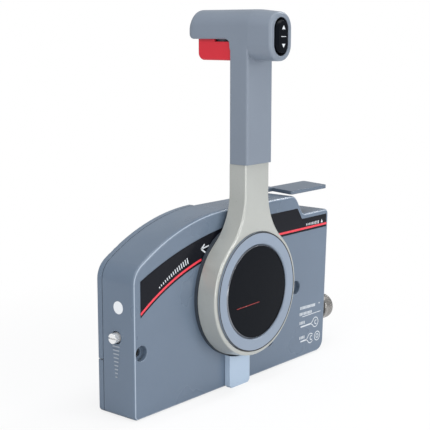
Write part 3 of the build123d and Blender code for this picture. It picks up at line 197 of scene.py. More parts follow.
def makeEdgeGroup():
    # Finds edges from the difference between a rounded and the true normal
    look = groupLooks["edge"]
    tree, given, result = newGroup("softEdge", {"Radius": 0.0006, "Wear": 1.0, "Patch Scale": 160.0},
                                   {"Mask": "NodeSocketFloat", "Normal": "NodeSocketVector"})
    bevel = tree.nodes.new("ShaderNodeBevel")
    bevel.samples = look["samples"]
    tree.links.new(given.outputs["Radius"], bevel.inputs["Radius"])
    geometry = tree.nodes.new("ShaderNodeNewGeometry")
    dot = tree.nodes.new("ShaderNodeVectorMath")
    dot.operation = "DOT_PRODUCT"
    tree.links.new(bevel.outputs["Normal"], dot.inputs[0])
    tree.links.new(geometry.outputs["Normal"], dot.inputs[1])
    away = mathNode(tree, "SUBTRACT", 1.0, dot.outputs["Value"])
    sharp = mathNode(tree, "MULTIPLY", away, look["gain"])
    patch = objectNoise(tree, given.outputs["Patch Scale"], look["patchDetail"], look["patchRough"])
    patchy = mathNode(tree, "SUBTRACT", patch, look["patchCut"])
    worn = mathNode(tree, "MULTIPLY", sharp, patchy)
    shown = tree.nodes.new("ShaderNodeMath")
    shown.operation = "MULTIPLY"
    shown.use_clamp = True
    tree.links.new(worn, shown.inputs[0])
    tree.links.new(given.outputs["Wear"], shown.inputs[1])
    tree.links.new(shown.outputs[0], result.inputs["Mask"])
    tree.links.new(bevel.outputs["Normal"], result.inputs["Normal"])
    return tree


def makeGrainGroup():
    # Fine moulding grain for the bump, with a slow cloud for colour and gloss
    look = groupLooks["grain"]
    tree, given, result = newGroup("mouldGrain", {"Scale": 1800.0, "Cloud Scale": 22.0},
                                   {"Height": "NodeSocketFloat", "Cloud": "NodeSocketFloat"})
    fine = objectNoise(tree, given.outputs["Scale"], look["detail"])
    tree.links.new(fine, result.inputs["Height"])
    cloud = objectNoise(tree, given.outputs["Cloud Scale"], look["cloudDetail"])
    tree.links.new(cloud, result.inputs["Cloud"])
    return tree


def makeDustGroup():
    # A little dust on what faces up
    look = groupLooks["dust"]
    tree, given, result = newGroup("restingDust", {"Amount": 0.1, "Scale": 60.0}, {"Mask": "NodeSocketFloat"})
    geometry = tree.nodes.new("ShaderNodeNewGeometry")
    split = tree.nodes.new("ShaderNodeSeparateXYZ")
    tree.links.new(geometry.outputs["Normal"], split.inputs[0])
    up = mathNode(tree, "MAXIMUM", split.outputs["Z"], 0.0)
    steep = mathNode(tree, "POWER", up, look["steepness"])
    specks = objectNoise(tree, given.outputs["Scale"], look["detail"], look["rough"])
    spots = mathNode(tree, "MULTIPLY", steep, specks)
    tree.links.new(mathNode(tree, "MULTIPLY", spots, given.outputs["Amount"]), result.inputs["Mask"])
    return tree


def makeBrushGroup():
    # Long fine lines left by turning or brushing
    tree, given, result = newGroup("brushLines", {"Along": 40.0, "Across": 3000.0},
                                   {"Height": "NodeSocketFloat"})
    place = tree.nodes.new("ShaderNodeTexCoord")
    stretch = tree.nodes.new("ShaderNodeCombineXYZ")
    tree.links.new(given.outputs["Along"], stretch.inputs["X"])
    tree.links.new(given.outputs["Across"], stretch.inputs["Y"])
    tree.links.new(given.outputs["Across"], stretch.inputs["Z"])
    scaled = tree.nodes.new("ShaderNodeVectorMath")
    scaled.operation = "MULTIPLY"
    tree.links.new(place.outputs["Object"], scaled.inputs[0])
    tree.links.new(stretch.outputs[0], scaled.inputs[1])
    noise = tree.nodes.new("ShaderNodeTexNoise")
    noise.inputs["Scale"].default_value = 1.0
    noise.inputs["Detail"].default_value = groupLooks["brush"]["detail"]
    tree.links.new(scaled.outputs[0], noise.inputs["Vector"])
    tree.links.new(noise.outputs["Fac"], result.inputs["Height"])
    return tree


def makePaintedRimHighlightGroup():
    # Painted highlight: lightens rounded edges that lean part of the way to the front, standing in for the
    # lamps' sheen along the fillets
    tree, given, result = newGroup("paintedRimHighlight", {"Place": 0.7, "Width": 0.25, "Share": 0.5},
                                   {"Mask": "NodeSocketFloat"})
    place = tree.nodes.new("ShaderNodeTexCoord")
    split = tree.nodes.new("ShaderNodeSeparateXYZ")
    tree.links.new(place.outputs["Normal"], split.inputs[0])
    front = mathNode(tree, "MULTIPLY", split.outputs["Y"], -1.0)
    away = mathNode(tree, "ABSOLUTE", mathNode(tree, "SUBTRACT", front, given.outputs["Place"]), None)
    near = mathNode(tree, "SUBTRACT", 1.0, mathNode(tree, "DIVIDE", away, given.outputs["Width"]))
    kept = mathNode(tree, "MAXIMUM", near, 0.0)
    tree.links.new(mathNode(tree, "MULTIPLY", kept, given.outputs["Share"]), result.inputs["Mask"])
    return tree


# The rim group paints a highlight on fillets that lean to the front
sharedGroups = {"edge": makeEdgeGroup(), "grain": makeGrainGroup(), "dust": makeDustGroup(),
                "brush": makeBrushGroup(), "rim": makePaintedRimHighlightGroup()}


def placeGroup(tree, name, **values):
    node = tree.nodes.new("ShaderNodeGroup")
    node.node_tree = sharedGroups[name]
    for label, value in values.items():
        node.inputs[label.replace("_", " ")].default_value = value
    return node


def mixColor(tree, share, first, second):
    node = tree.nodes.new("ShaderNodeMix")
    node.data_type = "RGBA"
    tree.links.new(share, node.inputs["Factor"])
    for socket, value in ((node.inputs[6], first), (node.inputs[7], second)):
        if isinstance(value, tuple):
            socket.default_value = (*value, 1)
        else:
            tree.links.new(value, socket)
    return node.outputs[2]


# Finishes
glossSpan = {"plastic": 0.16, "metal": 0.2}
dustColor = (0.62, 0.62, 0.60)
plainShine = 0.5
wornMetal = {"brighter": 1.25, "cloudScale": 900.0}
finishLooks = {
    # The housing's rim colour, with its share, place and width, is a painted highlight along the front
    # fillets
    "housingPlastic": {"color": (0.127, 0.170, 0.230), "cloudy": 0.08, "worn": (0.30, 0.36, 0.43),
                       "wear": 0.3, "rough": 0.29, "grain": 1500.0, "depth": 0.00006, "edge": 0.0006,
                       "dust": 0.08, "rim": (0.56, 0.64, 0.74), "rimShare": 0.72, "rimPlace": 0.82,
                       "rimWidth": 0.13},
    "gripPlastic": {"color": (0.190, 0.224, 0.274), "cloudy": 0.06, "worn": (0.34, 0.38, 0.43), "wear": 0.22,
                    "rough": 0.40, "grain": 1300.0, "depth": 0.00006, "edge": 0.0005, "dust": 0.08},
    "ringGrey": {"color": (0.236, 0.287, 0.362), "cloudy": 0.05, "worn": (0.44, 0.5, 0.6), "wear": 0.2,
                 "rough": 0.36, "grain": 1700.0, "depth": 0.00003, "edge": 0.0003, "dust": 0.05},
    "palePlastic": {"color": (0.41, 0.51, 0.63), "cloudy": 0.05, "worn": (0.55, 0.65, 0.75), "wear": 0.2,
                    "rough": 0.38, "grain": 1500.0, "depth": 0.00004, "edge": 0.0004, "dust": 0.05},
    "blackPlastic": {"color": (0.0034, 0.0046, 0.0072), "cloudy": 0.10, "worn": (0.05, 0.055, 0.065),
                     "wear": 0.2, "rough": 0.20, "shine": 0.06, "grain": 1600.0, "depth": 0.00004,
                     "edge": 0.0003, "dust": 0.06},
    "blackFilm": {"color": (0.0052, 0.0060, 0.0100), "cloudy": 0.06, "worn": (0.05, 0.05, 0.06),
                  "wear": 0.15, "rough": 0.22, "shine": 0.12, "grain": 900.0, "depth": 0.00001,
                  "edge": 0.0001, "dust": 0.04},
    # Painted shade: the neutral plate's dark housing grey stands for the soft shade beside the lever's boss
    "paintedShadePlate": {"color": (0.042, 0.052, 0.066), "cloudy": 0.08, "worn": (0.05, 0.06, 0.07),
                  "wear": 0.2, "rough": 0.50, "shine": 0.2, "grain": 1500.0, "depth": 0.00005,
                  "edge": 0.0004, "dust": 0.05},
    "redPlastic": {"color": (0.63, 0.020, 0.036), "cloudy": 0.05, "worn": (0.75, 0.20, 0.20), "wear": 0.12,
                   "rough": 0.30, "grain": 1200.0, "depth": 0.00003, "edge": 0.0006, "dust": 0.04},
    "padGrey": {"color": (0.112, 0.147, 0.196), "cloudy": 0.08, "worn": (0.24, 0.28, 0.33), "wear": 0.3,
                "rough": 0.34, "grain": 1500.0, "depth": 0.00006, "edge": 0.0005, "dust": 0.06},
    "gearPlastic": {"color": (0.62, 0.59, 0.50), "cloudy": 0.08, "worn": (0.7, 0.68, 0.6), "wear": 0.2,
                    "rough": 0.45, "grain": 1200.0, "depth": 0.00004, "edge": 0.0003, "dust": 0.0},
    "softRubber": {"color": (0.020, 0.020, 0.022), "cloudy": 0.12, "worn": (0.06, 0.06, 0.06), "wear": 0.3,
                   "rough": 0.75, "grain": 1400.0, "depth": 0.0001, "edge": 0.0004, "dust": 0.12},
    "stripeRed": {"color": (0.80, 0.035, 0.060), "cloudy": 0.04, "worn": (0.9, 0.3, 0.3), "wear": 0.1,
                  "rough": 0.33, "grain": 900.0, "depth": 0.00001, "edge": 0.0001, "dust": 0.0},
    "legendGrey": {"color": (0.34, 0.38, 0.43), "cloudy": 0.10, "worn": (0.42, 0.46, 0.50), "wear": 0.5,
                   "rough": 0.45, "grain": 1500.0, "depth": 0.00004, "edge": 0.0002, "dust": 0.05},
    "lineRed": {"color": (0.36, 0.022, 0.020), "cloudy": 0.10, "worn": (0.3, 0.05, 0.05), "wear": 0.1,
                "rough": 0.33, "grain": 900.0, "depth": 0.00001, "edge": 0.0001, "dust": 0.0},
    "printWhite": {"color": (0.66, 0.69, 0.72), "cloudy": 0.10, "worn": (0.45, 0.48, 0.5), "wear": 0.3,
                   "rough": 0.45, "grain": 900.0, "depth": 0.00001, "edge": 0.0001, "dust": 0.0},
    "stickerWhite": {"color": (0.80, 0.82, 0.84), "cloudy": 0.08, "worn": (0.6, 0.62, 0.64), "wear": 0.3,
                     "rough": 0.38, "grain": 900.0, "depth": 0.00002, "edge": 0.0002, "dust": 0.05},
}
metalLooks = {
    "castSilver": {"color": (0.51, 0.52, 0.49), "dark": (0.44, 0.45, 0.42), "metal": 0.45, "rough": 0.31,
                   "along": 1400.0, "across": 1400.0, "depth": 0.00004, "edge": 0.0006, "wear": 0.25},
    "zincSteel": {"color": (0.94, 0.94, 0.92), "dark": (0.84, 0.84, 0.83), "metal": 0.45, "rough": 0.30,
                  "along": 60.0, "across": 2600.0, "depth": 0.00002, "edge": 0.0003, "wear": 0.4},
    "bearingBronze": {"color": (0.55, 0.40, 0.22), "dark": (0.35, 0.24, 0.13), "metal": 1.0, "rough": 0.38,
                      "along": 300.0, "across": 1200.0, "depth": 0.00003, "edge": 0.0003, "wear": 0.4},
    "dullNickel": {"color": (0.360, 0.345, 0.325), "dark": (0.240, 0.230, 0.215), "metal": 0.72,
                   "rough": 0.26, "along": 80.0, "across": 1500.0, "depth": 0.00001, "edge": 0.0005,
                   "wear": 0.5},
    "darkChrome": {"color": (0.26, 0.27, 0.29), "dark": (0.18, 0.19, 0.21), "metal": 0.9, "rough": 0.24,
                   "along": 1400.0, "across": 1400.0, "depth": 0.00001, "edge": 0.0002, "wear": 0.1},
    "oiledSpring": {"color": (0.35, 0.35, 0.36), "dark": (0.20, 0.20, 0.21), "metal": 1.0, "rough": 0.28,
                    "along": 500.0, "across": 900.0, "depth": 0.00002, "edge": 0.0002, "wear": 0.3},
}


def newMaterial(name):
    material = bpy.data.materials.new(name)
    material.use_nodes = True
    return material, material.node_tree, material.node_tree.nodes["Principled BSDF"]


def bumpFrom(tree, height, normal, depth):
    bump = tree.nodes.new("ShaderNodeBump")
    bump.inputs["Strength"].default_value = 1.0
    bump.inputs["Distance"].default_value = depth
    tree.links.new(height, bump.inputs["Height"])
    tree.links.new(normal, bump.inputs["Normal"])
    return bump.outputs["Normal"]


def plasticFinish(name, look):
    material, tree, surface = newMaterial(name)
    edge = placeGroup(tree, "edge", Radius=look["edge"], Wear=look["wear"])
    grain = placeGroup(tree, "grain", Scale=look["grain"])
    dust = placeGroup(tree, "dust", Amount=look["dust"])
    surface.inputs["Specular IOR Level"].default_value = look.get("shine", plainShine)
    color = look["color"]
    lighter = tuple(channel * (1 + look["cloudy"]) for channel in color)
    darker = tuple(channel * (1 - look["cloudy"]) for channel in color)
    shade = mixColor(tree, grain.outputs["Cloud"], darker, lighter)
    shade = mixColor(tree, edge.outputs["Mask"], shade, look["worn"])
    shade = mixColor(tree, dust.outputs["Mask"], shade, dustColor)
    # Painted highlight: the rim colour lightens fillets that lean towards the front
    if "rim" in look:
        rim = placeGroup(tree, "rim", Place=look["rimPlace"], Width=look["rimWidth"], Share=look["rimShare"])
        shade = mixColor(tree, rim.outputs["Mask"], shade, look["rim"])
    tree.links.new(shade, surface.inputs["Base Color"])
    gloss = mathNode(tree, "MULTIPLY", grain.outputs["Cloud"], glossSpan["plastic"])
    smoothest = look["rough"] - glossSpan["plastic"] / 2
    tree.links.new(mathNode(tree, "ADD", gloss, smoothest), surface.inputs["Roughness"])
    relief = bumpFrom(tree, grain.outputs["Height"], edge.outputs["Normal"], look["depth"])
    tree.links.new(relief, surface.inputs["Normal"])
    return material


def metalFinish(name, look):
    material, tree, surface = newMaterial(name)
    edge = placeGroup(tree, "edge", Radius=look["edge"], Wear=look["wear"])
    brush = placeGroup(tree, "brush", Along=look["along"], Across=look["across"])
    grain = placeGroup(tree, "grain", Scale=wornMetal["cloudScale"])
    shade = mixColor(tree, grain.outputs["Cloud"], look["dark"], look["color"])
    bright = tuple(min(1.0, channel * wornMetal["brighter"]) for channel in look["color"])
    shade = mixColor(tree, edge.outputs["Mask"], shade, bright)
    tree.links.new(shade, surface.inputs["Base Color"])
    surface.inputs["Metallic"].default_value = look["metal"]
    gloss = mathNode(tree, "MULTIPLY", brush.outputs["Height"], glossSpan["metal"])
    smoothest = look["rough"] - glossSpan["metal"] / 2
    tree.links.new(mathNode(tree, "ADD", gloss, smoothest), surface.inputs["Roughness"])
    relief = bumpFrom(tree, brush.outputs["Height"], edge.outputs["Normal"], look["depth"])
    tree.links.new(relief, surface.inputs["Normal"])
    return material


finishes = {name: plasticFinish(name, look) for name, look in finishLooks.items()}
finishes.update({name: metalFinish(name, look) for name, look in metalLooks.items()})
print("finishes:", len(finishes))

# Which finish each slot of the part gets, and the nodes that differ
slotFinish = {
    "housing_plastic": "housingPlastic", "steel": "zincSteel", "bronze": "bearingBronze",
    "black_plastic": "blackPlastic", "switch_metal": "dullNickel", "red_plastic": "redPlastic",
    "film": "blackFilm", "pale_plastic": "palePlastic", "rubber": "softRubber", "cast_silver": "castSilver",
    "ring_grey": "ringGrey", "grip_plastic": "gripPlastic", "spring_steel": "oiledSpring",
    "gear_plastic": "gearPlastic",
}
# The neutral plate takes the painted-shade grey
nodeFinish = {"neutral_plate": "paintedShadePlate", "free_throttle_lever": "padGrey",
              "mounting_sleeves": "dullNickel"}
for entry in frame["record"]["subparts"]:
    node = cadNodes[entry["node"]]
    node.data.materials.clear()
    finish = nodeFinish.get(entry["node"], slotFinish[entry["material_slot"]])
    node.data.materials.append(finishes[finish])

# Planes that printed marks lie on
markThick = 0.00006
lineThick = 0.00008
weldGap = 1e-7
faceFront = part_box("face_decal")[0].y
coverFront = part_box("front_cover")[0].y
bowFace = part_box("front_cover")[0].x


def addPiece(name, mesh, finish, body):
    piece = bpy.data.objects.new(name, mesh)
    bpy.context.collection.objects.link(piece)
    mesh.materials.clear()
    mesh.materials.append(finishes[finish])
    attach(piece, body)
    return piece


def flatMark(form, ring, depth, thick=markThick):
    # Adds one closed outline, given in X and Z, as a thin plate that stands out to the front
    front = [form.verts.new((x, depth - thick, z)) for x, z in ring]
    back = [form.verts.new((x, depth, z)) for x, z in ring]
    form.faces.new(front)
    form.faces.new(list(reversed(back)))
    for index in range(len(ring)):
        after = (index + 1) % len(ring)
        form.faces.new((front[index], back[index], back[after], front[after]))


def bandMark(form, line, width, depth, thick=markThick):
    # Adds a band of even width along a line of X and Z points
    sides = ([], [])
    for index, point in enumerate(line):
        before = Vector(line[max(index - 1, 0)])
        after = Vector(line[min(index + 1, len(line) - 1)])
        across = (after - before).normalized()
        across = Vector((-across.y, across.x)) * width / 2
        sides[0].append(Vector(point) + across)
        sides[1].append(Vector(point) - across)
    for index in range(len(line) - 1):
        ring = [sides[0][index], sides[0][index + 1], sides[1][index + 1], sides[1][index]]
        flatMark(form, [tuple(corner) for corner in ring], depth, thick)


def ringLine(centreX, centreZ, radius, fromAngle, toAngle, steps=24):
    turns = [math.radians(fromAngle + (toAngle - fromAngle) * step / steps) for step in range(steps + 1)]
    return [(centreX + radius * math.cos(turn), centreZ + radius * math.sin(turn)) for turn in turns]


def closeForm(form, name):
    bmesh.ops.remove_doubles(form, verts=form.verts, dist=weldGap)
    bmesh.ops.recalc_face_normals(form, faces=form.faces)
    mesh = bpy.data.meshes.new(name)
    form.to_mesh(mesh)
    form.free()
    return mesh


# Red stripe along the foot of the black film
stripe = {"left": -0.1180, "right": 0.1284, "level": 0.03765, "arcX": -0.0013, "arcRadius": 0.205,
          "width": 0.0019, "clearRadius": 0.0568, "step": 0.002}


def stripeHeight(x):
    if x > stripe["arcX"]:
        return stripe["level"]
    drop = math.sqrt(stripe["arcRadius"] ** 2 - (x - stripe["arcX"]) ** 2)
    return stripe["level"] - stripe["arcRadius"] + drop


def makeStripe():
    form = bmesh.new()
    length = stripe["right"] - stripe["left"]
    count = int(length / stripe["step"])
    places = [stripe["left"] + length * index / count for index in range(count + 1)]
    shown = [(x, stripeHeight(x)) for x in places if math.hypot(x, stripeHeight(x)) > stripe["clearRadius"]]
    bandMark(form, [point for point in shown if point[0] < 0], stripe["width"], faceFront)
    bandMark(form, [point for point in shown if point[0] > 0], stripe["width"], faceFront)
    addPiece("faceStripe", closeForm(form, "faceStripe"), "stripeRed", "housing")


makeStripe()


# Geometry Nodes helpers
def geometryTree(name, inputs):
    tree = bpy.data.node_groups.new(name, "GeometryNodeTree")
    tree.interface.new_socket("Geometry", in_out="INPUT", socket_type="NodeSocketGeometry")
    tree.interface.new_socket("Geometry", in_out="OUTPUT", socket_type="NodeSocketGeometry")
    kinds = {int: "NodeSocketInt", float: "NodeSocketFloat", tuple: "NodeSocketVector"}
    for label, value in inputs.items():
        kind = kinds.get(type(value), "NodeSocketMaterial")
        tree.interface.new_socket(label, in_out="INPUT", socket_type=kind)
    return tree, tree.nodes.new("NodeGroupInput"), tree.nodes.new("NodeGroupOutput")


def geometryMesh(tree, inputs, name):
    # Runs a tree once and returns its result as a plain mesh
    carrier = bpy.data.objects.new(name + "Carrier", bpy.data.meshes.new(name + "Carrier"))
    bpy.context.collection.objects.link(carrier)
    modifier = carrier.modifiers.new("build", "NODES")
    modifier.node_group = tree
    sockets = {item.name: item.identifier for item in tree.interface.items_tree if item.in_out == "INPUT"}
    for label, value in inputs.items():
        modifier[sockets[label]] = value
    graph = bpy.context.evaluated_depsgraph_get()
    mesh = bpy.data.meshes.new_from_object(carrier.evaluated_get(graph))
    mesh.name = name
    bpy.data.objects.remove(carrier)
    return mesh


def link(tree, start, end):
    tree.links.new(start, end)


def vectorOf(tree, x, y, z):
    node = tree.nodes.new("ShaderNodeCombineXYZ")
    for socket, value in zip(node.inputs, (x, y, z)):
        if isinstance(value, (int, float)):
            socket.default_value = value
        else:
            link(tree, value, socket)
    return node.outputs[0]


def finishTree(tree, geometry, given, result):
    real = tree.nodes.new("GeometryNodeRealizeInstances")
    paint = tree.nodes.new("GeometryNodeSetMaterial")
    link(tree, geometry, real.inputs[0])
    link(tree, real.outputs[0], paint.inputs["Geometry"])
    link(tree, given.outputs["Material"], paint.inputs["Material"])
    link(tree, paint.outputs[0], result.inputs[0])


def indexShare(tree, count):
    index = tree.nodes.new("GeometryNodeInputIndex").outputs[0]
    return mathNode(tree, "DIVIDE", index, mathNode(tree, "SUBTRACT", count, 1))


def between(tree, start, end, share):
    span = mathNode(tree, "SUBTRACT", end, start)
    return mathNode(tree, "ADD", start, mathNode(tree, "MULTIPLY", span, share))


# Rows of printed ticks, which stand on an arc
def tickTree():
    sizes = {"Count": 8, "Radius": 0.1, "Start Angle": 0.0, "End Angle": 1.0, "Centre": (0.0, 0.0, 0.0),
             "Tick Width": 0.001, "First Height": 0.002, "Last Height": 0.004, "Thickness": 0.0001,
             "Material": None}
    tree, given, result = geometryTree("tickRow", sizes)
    share = indexShare(tree, given.outputs["Count"])
    angle = between(tree, given.outputs["Start Angle"], given.outputs["End Angle"], share)
    height = between(tree, given.outputs["First Height"], given.outputs["Last Height"], share)
    middle = mathNode(tree, "ADD", given.outputs["Radius"], mathNode(tree, "MULTIPLY", height, 0.5))
    flat = vectorOf(tree, mathNode(tree, "MULTIPLY", middle, mathNode(tree, "COSINE", angle, None)), 0.0,
                    mathNode(tree, "MULTIPLY", middle, mathNode(tree, "SINE", angle, None)))
    place = tree.nodes.new("ShaderNodeVectorMath")
    place.operation = "ADD"
    link(tree, flat, place.inputs[0])
    link(tree, given.outputs["Centre"], place.inputs[1])
    points = tree.nodes.new("GeometryNodePoints")
    link(tree, given.outputs["Count"], points.inputs["Count"])
    link(tree, place.outputs[0], points.inputs["Position"])
    cube = tree.nodes.new("GeometryNodeMeshCube")
    size = vectorOf(tree, 1.0, given.outputs["Thickness"], given.outputs["Tick Width"])
    link(tree, size, cube.inputs["Size"])
    spread = tree.nodes.new("GeometryNodeInstanceOnPoints")
    link(tree, points.outputs[0], spread.inputs["Points"])
    link(tree, cube.outputs["Mesh"], spread.inputs["Instance"])
    link(tree, vectorOf(tree, 0.0, mathNode(tree, "MULTIPLY", angle, -1.0), 0.0), spread.inputs["Rotation"])
    link(tree, vectorOf(tree, height, 1.0, 1.0), spread.inputs["Scale"])
    finishTree(tree, spread.outputs[0], given, result)
    return tree


tickRow = tickTree()
filmTicks = {"Count": 15, "Radius": 0.2088, "Start Angle": math.radians(117.2),
             "End Angle": math.radians(107.4), "Centre": (-0.0013, faceFront - markThick / 2, -0.16775),
             "Tick Width": 0.0010, "First Height": 0.0012, "Last Height": 0.0050, "Thickness": markThick,
             "Material": finishes["printWhite"]}
addPiece("throttleTicks", geometryMesh(tickRow, filmTicks, "throttleTicks"), "printWhite", "housing")

# Short rows of bars; their arc is so large that they look straight
rowRadius = 3.0
rowSink = 0.0015
barRows = {
    "idleTicks": {"count": 9, "from": 0.0968, "to": 0.1155, "level": 0.0398, "width": 0.0010,
                  "first": 0.0018, "last": 0.0030},
    "stopTicks": {"count": 12, "from": 0.0898, "to": 0.1118, "level": -0.0374, "width": 0.0012,
                  "first": 0.0027, "last": 0.0027},
    "stopTicksLow": {"count": 9, "from": 0.0890, "to": 0.1063, "level": -0.0430, "width": 0.0012,
                     "first": 0.0027, "last": 0.0027},
    "clipInTicks": {"count": 4, "from": 0.0890, "to": 0.0955, "level": -0.0513, "width": 0.0012,
                    "first": 0.0027, "last": 0.0027},
    "clipOutTicks": {"count": 4, "from": 0.0890, "to": 0.0955, "level": -0.0652, "width": 0.0012,
                     "first": 0.0027, "last": 0.0027},
}


def makeBarRow(name, front):
    look = barRows[name]
    upright = math.radians(90)
    inputs = {"Count": look["count"], "Radius": rowRadius, "Start Angle": upright - look["from"] / rowRadius,
              "End Angle": upright - look["to"] / rowRadius,
              "Centre": (0.0, front - markThick / 2, look["level"] + rowSink - rowRadius),
              "Tick Width": look["width"], "First Height": look["first"], "Last Height": look["last"],
              "Thickness": markThick, "Material": finishes["printWhite"]}
    addPiece(name, geometryMesh(tickRow, inputs, name), "printWhite", "housing")


makeBarRow("idleTicks", faceFront)

# Arrow towards the bow and a pointer by the idle lever, printed on the film
filmArrow = {"tip": (-0.0480, 0.0408), "tail": (-0.0386, 0.0424), "wingHigh": (-0.0440, 0.0442),
             "wingLow": (-0.0430, 0.0373), "width": 0.0011, "barb": 0.0013,
             "pointer": [(0.1193, 0.0394), (0.1222, 0.0394), (0.1208, 0.0427)]}


def makeFilmPrints():
    form = bmesh.new()
    bandMark(form, [filmArrow["tip"], filmArrow["tail"]], filmArrow["width"], faceFront)
    bandMark(form, [filmArrow["wingHigh"], filmArrow["tip"]], filmArrow["barb"], faceFront)
    bandMark(form, [filmArrow["wingLow"], filmArrow["tip"]], filmArrow["barb"], faceFront)
    flatMark(form, filmArrow["pointer"], faceFront)
    addPiece("filmArrows", closeForm(form, "filmArrows"), "printWhite", "housing")


makeFilmPrints()

# Stop switch diagram printed on the cover: the clip pushed in above, the clip pulled out below
stopDiagram = {
    "strokes": [
        {"width": 0.00064, "line": [(0.0923, -0.0443), (0.1212, -0.0443)]},
        {"width": 0.0013, "line": [(0.0901, -0.0535), (0.1068, -0.0535)]},
        {"width": 0.0008, "from": (0.1064, -0.0535), "arc": (0.1132, -0.0533, 0.0045, 150, -150),
         "to": (0.1064, -0.0535)},
        {"width": 0.00088, "arc": (0.1141, -0.0534, 0.0018, 60, 300)},
        {"width": 0.0013, "line": [(0.0901, -0.0673), (0.0998, -0.0673)]},
        {"width": 0.0008, "from": (0.0994, -0.0673), "arc": (0.1056, -0.0671, 0.0044, 150, 40)},
        {"width": 0.0008, "from": (0.0994, -0.0673), "arc": (0.1056, -0.0671, 0.0044, 210, 320)},
        {"width": 0.00088, "arc": (0.1072, -0.0671, 0.0019, 50, 310)},
        {"width": 0.0008, "arc": (0.1164, -0.0671, 0.0042, 0, 360)},
        {"width": 0.0008, "arc": (0.1164, -0.0671, 0.0018, 0, 360)},
    ],
    "dot": (0.1190, -0.0362, 0.0007, 0, 330, 11),
}


def strokePoints(stroke):
    points = ringLine(*stroke["arc"]) if "arc" in stroke else list(stroke["line"])
    if "from" in stroke:
        points.insert(0, stroke["from"])
    if "to" in stroke:
        points.append(stroke["to"])
    return points


def makeStopDiagram():
    form = bmesh.new()
    for stroke in stopDiagram["strokes"]:
        bandMark(form, strokePoints(stroke), stroke["width"], coverFront)
    flatMark(form, ringLine(*stopDiagram["dot"]), coverFront)
    addPiece("stopDiagram", closeForm(form, "stopDiagram"), "printWhite", "housing")


makeStopDiagram()
for rowName in ("stopTicks", "stopTicksLow", "clipInTicks", "clipOutTicks"):
    makeBarRow(rowName, coverFront)

# Thin red line across the centre cap
capLine = {"start": (-0.0271, -0.0098), "end": (0.0025, -0.0090), "width": 0.0005}


def makeCapLine():
    form = bmesh.new()
    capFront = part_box("centre_cap")[0].y
    bandMark(form, [capLine["start"], capLine["end"]], capLine["width"], capFront, lineThick)
    addPiece("capLine", closeForm(form, "capLine"), "lineRed", "lever")


makeCapLine()

# Painted shade: a dark band over the ring cover's outer edge stands for the shade in the gap between the ring
# cover and the casting around it
paintedRingShade = {"in": 0.0003, "wide": 0.0009, "sides": 160, "thick": 0.00005}


def makePaintedRingShade():
    form = bmesh.new()
    low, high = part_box("ring_cover")
    radius = (high.x - low.x) / 2 - paintedRingShade["in"]
    middle = ((low.x + high.x) / 2, (low.z + high.z) / 2)
    ring = ringLine(middle[0], middle[1], radius, 0, 360, paintedRingShade["sides"])
    # The dark band is painted shade lying on the ring cover, not a part
    bandMark(form, ring, paintedRingShade["wide"], low.y, paintedRingShade["thick"])
    addPiece("paintedRingShade", closeForm(form, "paintedRingShade"), "softRubber", "lever")


makePaintedRingShade()

# Bright bevel that lies over the centre cap's edge
capBevel = {"wide": 0.00085, "deep": 0.0008, "lift": 0.00005, "thick": 0.0002, "sides": 128}


def makeCapBevel():
    form = bmesh.new()
    low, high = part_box("centre_cap")
    radius = (high.x - low.x) / 2
    middle = ((low.x + high.x) / 2, (low.z + high.z) / 2)
    inner = radius - capBevel["wide"]
    outer = radius + capBevel["lift"]
    front = low.y - capBevel["lift"]
    foot = front + capBevel["deep"]
    thick = capBevel["thick"]
    profile = [(inner, front), (outer, foot), (outer, foot + thick), (inner, front + thick)]
    loops = []
    for index in range(capBevel["sides"]):
        turn = 2 * math.pi * index / capBevel["sides"]
        across, up = math.cos(turn), math.sin(turn)
        loops.append([form.verts.new((middle[0] + out * across, depth, middle[1] + out * up))
                      for out, depth in profile])
    for index in range(capBevel["sides"]):
        here, after = loops[index], loops[(index + 1) % capBevel["sides"]]
        for spot in range(len(profile)):
            other = (spot + 1) % len(profile)
            form.faces.new((here[spot], after[spot], after[other], here[other]))
    addPiece("capBevel", closeForm(form, "capBevel"), "darkChrome", "lever")


makeCapBevel()

# Round white sticker at the bow end
bowSticker = {"y": -0.0230, "z": 0.0054, "radius": 0.0050, "thick": 0.0002, "rim": 0.0004, "crown": 1.3,
              "sides": 48}


def makeBowSticker():
    form = bmesh.new()
    look = bowSticker
    rings = [(look["radius"], 0.0), (look["radius"], look["thick"]),
             (look["radius"] - look["rim"], look["thick"] * look["crown"])]
    loops = []
    for radius, out in rings:
        loop = []
        for index in range(look["sides"]):
            turn = 2 * math.pi * index / look["sides"]
            across, up = radius * math.cos(turn), radius * math.sin(turn)
            loop.append(form.verts.new((bowFace - out, look["y"] + across, look["z"] + up)))
        loops.append(loop)
    for low, high in zip(loops, loops[1:]):
        for index in range(look["sides"]):
            after = (index + 1) % look["sides"]
            form.faces.new((low[index], low[after], high[after], high[index]))
    form.faces.new(loops[-1])
    form.faces.new(list(reversed(loops[0])))
    addPiece("bowSticker", closeForm(form, "bowSticker"), "stickerWhite", "housing")


makeBowSticker()


